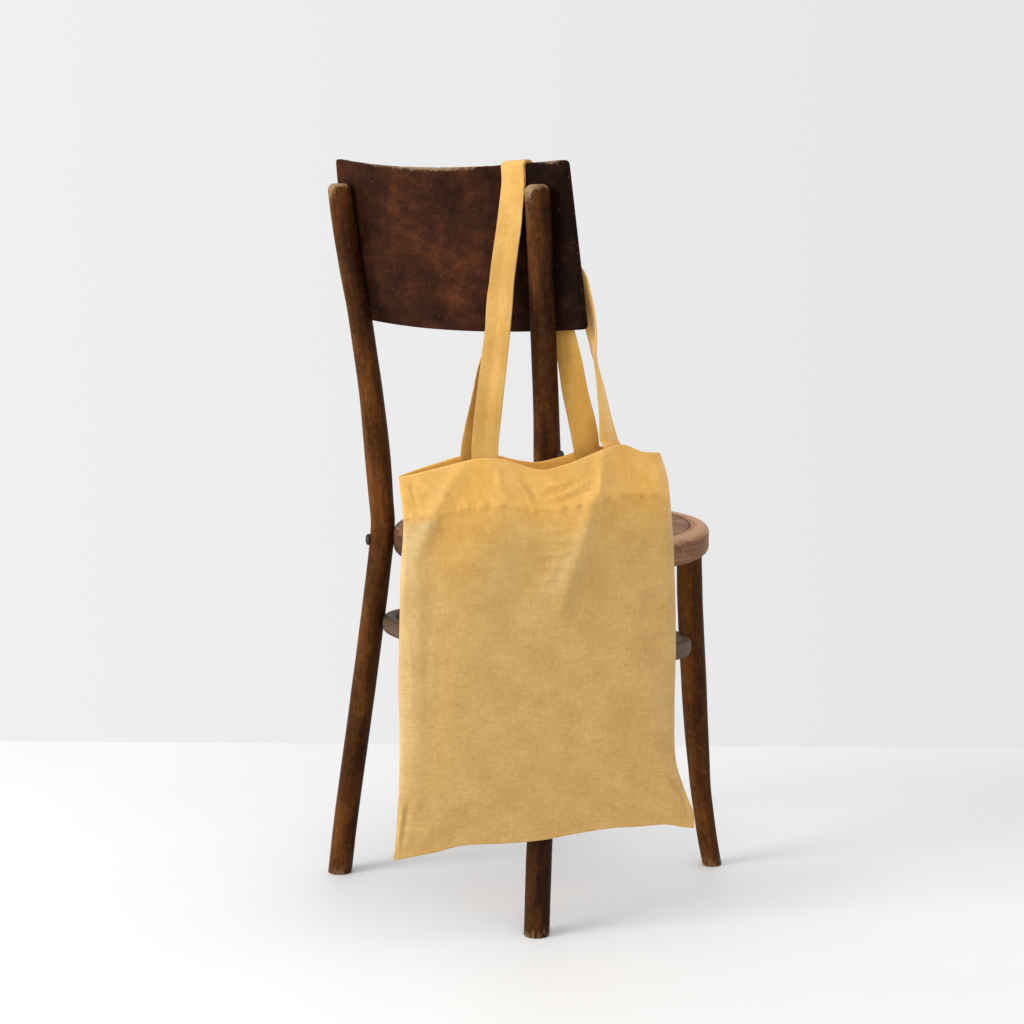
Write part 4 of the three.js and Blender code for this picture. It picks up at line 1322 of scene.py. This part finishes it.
def sewn_row(side, end, v):
    """A row of a sewn end on the hem's inner face, clear of the folds behind the band. A
    twist turns the band about its middle where it leaves the hem."""
    twist = end.get("twist", 0) * max(0, (v - 1 + SEWN_DEPTH) / SEWN_DEPTH) ** 2
    us = end["u"] + HANDLE_WIDTH / MOUTH_WIDTH * np.linspace(-1, 1, 9)
    grid = panel_grid(side, us, [v - 0.02, v], fine=False)
    first, centre, last = grid[1, 0], grid[1, 4], grid[1, 8]
    normal = grid_normals(grid)[1, 4]
    across = last - first
    flat = unit(np.array([across[0], across[1], 0]))
    inner = np.array([-flat[1], flat[0], 0]) * OUTSIDE[side]
    deepest = max((grid[1] - centre) @ inner)
    off = HEM_INSIDE + HANDLE_THICK / 2 + SEWN_LIFT + max(0, deepest)
    off += HANDLE_WIDTH / 2 * math.sin(math.radians(twist))
    at = centre - normal * OUTSIDE[side] * off
    turn = end["turn"] + math.degrees(math.atan2(across[1], across[0])) + twist
    return free_row(dict(x=at[0], y=at[1], z=at[2], turn=turn))


def centripetal(knots, k, share):
    """A point between knots k and k + 1 of a centripetal Catmull-Rom curve."""
    last = len(knots) - 1
    p1, p2 = knots[k], knots[k + 1]
    p0 = knots[k - 1] if k > 0 else 2 * p1 - p2
    p3 = knots[k + 2] if k + 1 < last else 2 * p2 - p1
    d0, d1, d2 = (math.sqrt(np.linalg.norm(b - a)) for a, b in ((p0, p1), (p1, p2), (p2, p3)))
    m1 = ((p1 - p0) / d0 - (p2 - p0) / (d0 + d1) + (p2 - p1) / d1) * d1
    m2 = ((p2 - p1) / d1 - (p3 - p1) / (d1 + d2) + (p3 - p2) / d2) * d1
    return hermite(p1, m1, p2, m2, share)


BAND_STEP = 2.6
BAND_COLUMNS = 41
BAND_RIPPLE = 0.25
CREASE_SOFT = 0.07
# How much dye colour each band shows; the back band's deeper colour is painted shade
HANDLE_DYE_AND_SHADE = dict(front=0.5, back=1.0)
# How light each band is painted at its left and at its right end, as painted light and shade
HANDLE_PAINTED_LIGHT = dict(front=(0.84, 1.2), back=(0.88, 0.75))
ROLL_STARTS = 0.42


def band_rows(handle):
    side, left, right = handle["side"], handle["left"], handle["right"]
    low, half = 1 - SEWN_DEPTH, 1 - SEWN_DEPTH / 2
    return (
        [sewn_row(side, left, v) for v in (low, half, 1)]
        + [free_row(row) for row in handle["rise"]]
        + board_rows(handle)
        + [free_row(row) for row in handle["fall"]]
        + [sewn_row(side, right, v) for v in (1, half, low)]
    )


def band_line(handle):
    """Centre, unit width, face normal, creasing and slant at close steps along a handle."""
    rows = band_rows(handle)
    knots = [row["at"] for row in rows]
    centres, widths, bends = [], [], []
    for k in range(len(rows) - 1):
        steps = max(2, round(np.linalg.norm(knots[k + 1] - knots[k]) / BAND_STEP))
        last = k == len(rows) - 2
        for s in range(steps + (1 if last else 0)):
            share = s / steps
            smooth = share * share * (3 - 2 * share)
            centres.append(centripetal(knots, k, share))
            widths.append(unit(rows[k]["width"] * (1 - share) + rows[k + 1]["width"] * share))
            near, far = rows[k], rows[k + 1]
            bends.append([near[key] * (1 - smooth) + far[key] * smooth for key in BENDS])
    centres, widths = np.array(centres), np.array(widths)
    face = np.cross(np.gradient(centres, axis=0), widths)
    tangents = unit(np.gradient(centres, axis=0))
    slant = np.linalg.norm(np.cross(tangents, widths), axis=1)
    return centres, widths, unit(face), bends, slant


def creased(s, fold, crease, roll):
    """Where a place s across the band, -1 to 1, comes to lie: across in millimetres, and out."""
    half = HANDLE_WIDTH / 2
    across = 0
    for part, way in (((1 + crease) * half, -1), ((1 - crease) * half, 1)):
        reach = min(1, max(0, (s - crease) * way / (1 - crease * way)))
        across += way * reach * math.sqrt(part * part - fold * fold)
    left = math.sqrt(((1 + crease) * half) ** 2 - fold * fold)
    right = math.sqrt(((1 - crease) * half) ** 2 - fold * fold)
    from_crease = abs(s - crease) / (1 + crease if s < crease else 1 - crease)
    soft = math.sqrt(from_crease**2 + CREASE_SOFT**2) - CREASE_SOFT
    rolled = max(0, -s - ROLL_STARTS) / (1 - ROLL_STARTS)
    out = fold * (1 - soft / (1 - CREASE_SOFT * 0.9)) - roll * rolled**1.3
    return across + (left - right) / 2, out


def make_handle(handle):
    """A folded and stitched band with rounded edges and a soft crease along it."""
    side = handle["side"]
    centres, widths, face, bends, slant = band_line(handle)
    across = crowded(BAND_COLUMNS)
    lengths = lengths_along(centres)
    sections, flow = [], []
    seed = 5 if side == "front" else 35
    for k, centre in enumerate(centres):
        ring = []
        for sign in (1, -1):
            for s in across * sign:
                round_edge = math.sqrt(max(0, 1 - max(0, (abs(s) - 0.94) / 0.06) ** 2))
                wide, out = creased(s, *bends[k])
                wave = noise.noise(Vector((s * 1.6, lengths[k] / 26, seed)))
                dent = SEAM_DENT * math.exp(-(((abs(s) - SEAM_INSET) / 0.05) ** 2))
                ripple = BAND_RIPPLE * wave * min(1, abs(bends[k][0]) + 0.15)
                lift = (HANDLE_THICK / 2 * round_edge - dent) * sign + out + ripple
                ring.append(centre + widths[k] * wide / slant[k] + face[k] * lift)
                flow.append((lengths[k], s * HANDLE_WIDTH / 2 + (0 if sign == 1 else 90), 0))
        sections.append(np.array(ring))
    points, faces = lofted(sections)
    flow = np.array(flow) * MM + np.array([0.4 * seed, 0, 0])
    # Painted light and shade along the band
    tone = np.interp(lengths / lengths[-1], (0.35, 0.65), HANDLE_PAINTED_LIGHT[side])
    piece = add_piece(
        f"handle_{side}_cloth", to_row(points), faces, LINEN, "handle_cloth", [f"handle_{side}"],
        flow=flow, double=np.ones(len(points)), warm=np.full(len(points), HANDLE_DYE_AND_SHADE[side]),
        tone=np.repeat(tone, 2 * BAND_COLUMNS)[:, None] * np.ones(3),
    )
    return piece, lengths[-1]


# Stitches lie in rows on the cloth, each a small rounded thread


def stitch_row(line, normals):
    """Places of stitches along a line of points: middle, direction and normal of each."""
    lengths = lengths_along(line)

    def place(values, at):
        return np.array([np.interp(at, lengths, values[:, k]) for k in range(3)])

    found = []
    at = STITCH_PITCH / 2
    while at < lengths[-1]:
        along = unit(place(line, at + 1) - place(line, at - 1))
        found.append((place(line, at), along, unit(place(normals, at))))
        at += STITCH_PITCH
    return found


def make_stitches(name, stitches, slot):
    points, faces, flow = [], [], []
    ends = ((-1, 0.0), (-0.7, 0.8), (0, 1.0), (0.7, 0.8), (1, 0.0))
    for middle, along, normal in stitches:
        side = np.cross(along, normal)
        start = len(points)
        for t, fat in ends:
            for a in range(THREAD_SIDES):
                angle = 2 * math.pi * a / THREAD_SIDES
                lift = STITCH_HIGH * fat * (0.35 + 0.65 * math.sin(angle))
                point = middle + along * t * STITCH_LONG / 2
                point = point + side * math.cos(angle) * STITCH_WIDE / 2 * max(fat, 0.2)
                points.append(point + normal * (lift - STITCH_HIGH * (1 - fat)))
                flow.append(points[-1] * MM)
        faces += strip_faces(THREAD_SIDES, len(ends), start, closed=True)
        faces.append(tuple(range(start + THREAD_SIDES - 1, start - 1, -1)))
        end = start + THREAD_SIDES * (len(ends) - 1)
        faces.append(tuple(range(end, end + THREAD_SIDES)))
    points = np.array(points)
    return add_piece(name, to_row(points), outward(points, faces), THREAD, slot, flow=np.array(flow))


def panel_line(side, us, vs):
    """Points on a panel's outer face along lists of u and v, and the normals there."""
    line, normals = [], []
    for u, v in zip(us, vs):
        grid = panel_grid(side, [u - 0.004, u, u + 0.004], [v - 0.003, v, v + 0.003])
        normals.append(grid_normals(grid)[1, 1] * OUTSIDE[side])
        line.append(grid[1, 1] + normals[-1] * (CLOTH / 2 + 0.02))
    return np.array(line), np.array(normals)


def sewn_outline(side, end):
    """The box of stitches that holds a handle's end, seen on the hem's outer face."""
    width = read(BAG_ROWS, "v", 0.95, "xr") - read(BAG_ROWS, "v", 0.95, "xl")
    half = (HANDLE_WIDTH / 2 - BOX_INSET) / (width / 2)
    low, high = 1 - SEWN_DEPTH + 0.008, 1 - 0.012
    corners = [(-half, high), (-half, low), (half, low), (half, high), (-half, high)]
    found = []
    for (u0, v0), (u1, v1) in zip(corners, corners[1:]):
        us = np.linspace(u0, u1, 8) + end["u"]
        found += stitch_row(*panel_line(side, us, np.linspace(v0, v1, 8)))
    return found


def panel_stitches(side, handle):
    us = np.linspace(-0.985, 0.985, 120)
    found = stitch_row(*panel_line(side, us, np.full(len(us), HEM_STARTS)))
    for end in (handle["left"], handle["right"]):
        found += sewn_outline(side, end)
    return make_stitches(f"bag_{side}_stitches", found, "bag_cloth")


def handle_stitches(handle):
    centres, widths, face, bends, slant = band_line(handle)
    found = []
    for s in (-SEAM_INSET, SEAM_INSET):
        laid = np.array([creased(s, *bend) for bend in bends])
        middle = centres + widths * (laid[:, 0] / slant)[:, None] + face * laid[:, 1:]
        for sign in (1, -1):
            line = middle + face * sign * (HANDLE_THICK / 2 - SEAM_DENT)
            found += stitch_row(line, face * sign)
    return make_stitches(f"handle_{handle['side']}_stitches", found, "handle_cloth")


def make_bag():
    for handle in (FRONT_HANDLE, BACK_HANDLE):
        side = handle["side"]
        panel = make_panel(side)
        piece, length = make_handle(handle)
        seams = panel_stitches(side, handle)
        edges = handle_stitches(handle)


# The pale studio: a floor with a far edge, and soft light
FLOOR_EDGE = [(-0.636, 0.842), (0.858, 0.382)]
FLOOR_BESIDE = 4
FLOOR_DEEP = 6
LIGHT_LEFT = (0.87, 0.87, 0.87)
LIGHT_RIGHT = (0.78, 0.78, 0.78)


def make_floor():
    a, b = (Vector((x, y, 0)) + AXIS for x, y in FLOOR_EDGE)
    along = (b - a).normalized()
    towards = Vector((along.y, -along.x, 0))
    left, right = a - along * FLOOR_BESIDE, b + along * FLOOR_BESIDE
    corners = [left, right, right + towards * FLOOR_DEEP, left + towards * FLOOR_DEEP]
    mesh = bpy.data.meshes.new("floor")
    mesh.from_pydata([tuple(c) for c in corners], [], [(3, 2, 1, 0)])
    look = Look("floor_paint")
    place = look.node("NewGeometry").outputs["Position"]
    soft = look.noise(place, 3.0, 2.0)
    color = look.ramp(soft, (0.3, (0.755, 0.757, 0.76)), (0.7, (0.775, 0.777, 0.78)))
    mesh.materials.append(look.finish(Base_Color=color, Roughness=0.55, Specular_IOR_Level=0.25))
    placed("floor", mesh)


def make_world():
    """Even light that is a little darker on the right."""
    world = bpy.data.worlds.new("studio")
    bpy.context.scene.world = world
    world.use_nodes = True
    nodes = Nodes(world.node_tree)
    place = nodes.node("TexCoord").outputs["Generated"]
    share = nodes.span(nodes.node("SeparateXYZ", {0: place}).outputs["X"], 0.05, 0.5)
    background = world.node_tree.nodes["Background"]
    nodes.put(background.inputs["Color"], nodes.mix(share, LIGHT_LEFT, LIGHT_RIGHT))
    background.inputs["Strength"].default_value = 1.0


# Lamps: place and target in the bag's frame, size in metres, power in watts
LAMPS = table("name place aim size power", [
    ("key", (-3.4, -0.9, 1.9), (-0.05, -0.15, 0.5), 1.8, 98),
    ("fill", (0.3, -5, 2.5), (0, 0, 0.4), 3.2, 46),
    ("sky", (0.2, 0.3, 3.2), (0, 0.3, 0), 2.6, 15),
])


def make_lamps():
    for lamp in LAMPS:
        data = bpy.data.lights.new(lamp["name"], "AREA")
        data.shape = "SQUARE"
        data.size = lamp["size"]
        data.energy = lamp["power"]
        item = placed(lamp["name"], data)
        place, aim = Vector(lamp["place"]), Vector(lamp["aim"])
        item.location = place + AXIS
        item.rotation_euler = (aim - place).to_track_quat("-Z", "Y").to_euler()


make_chair()
make_bag()
make_floor()
make_world()
make_lamps()
bpy.context.scene.view_settings.view_transform = "Standard"
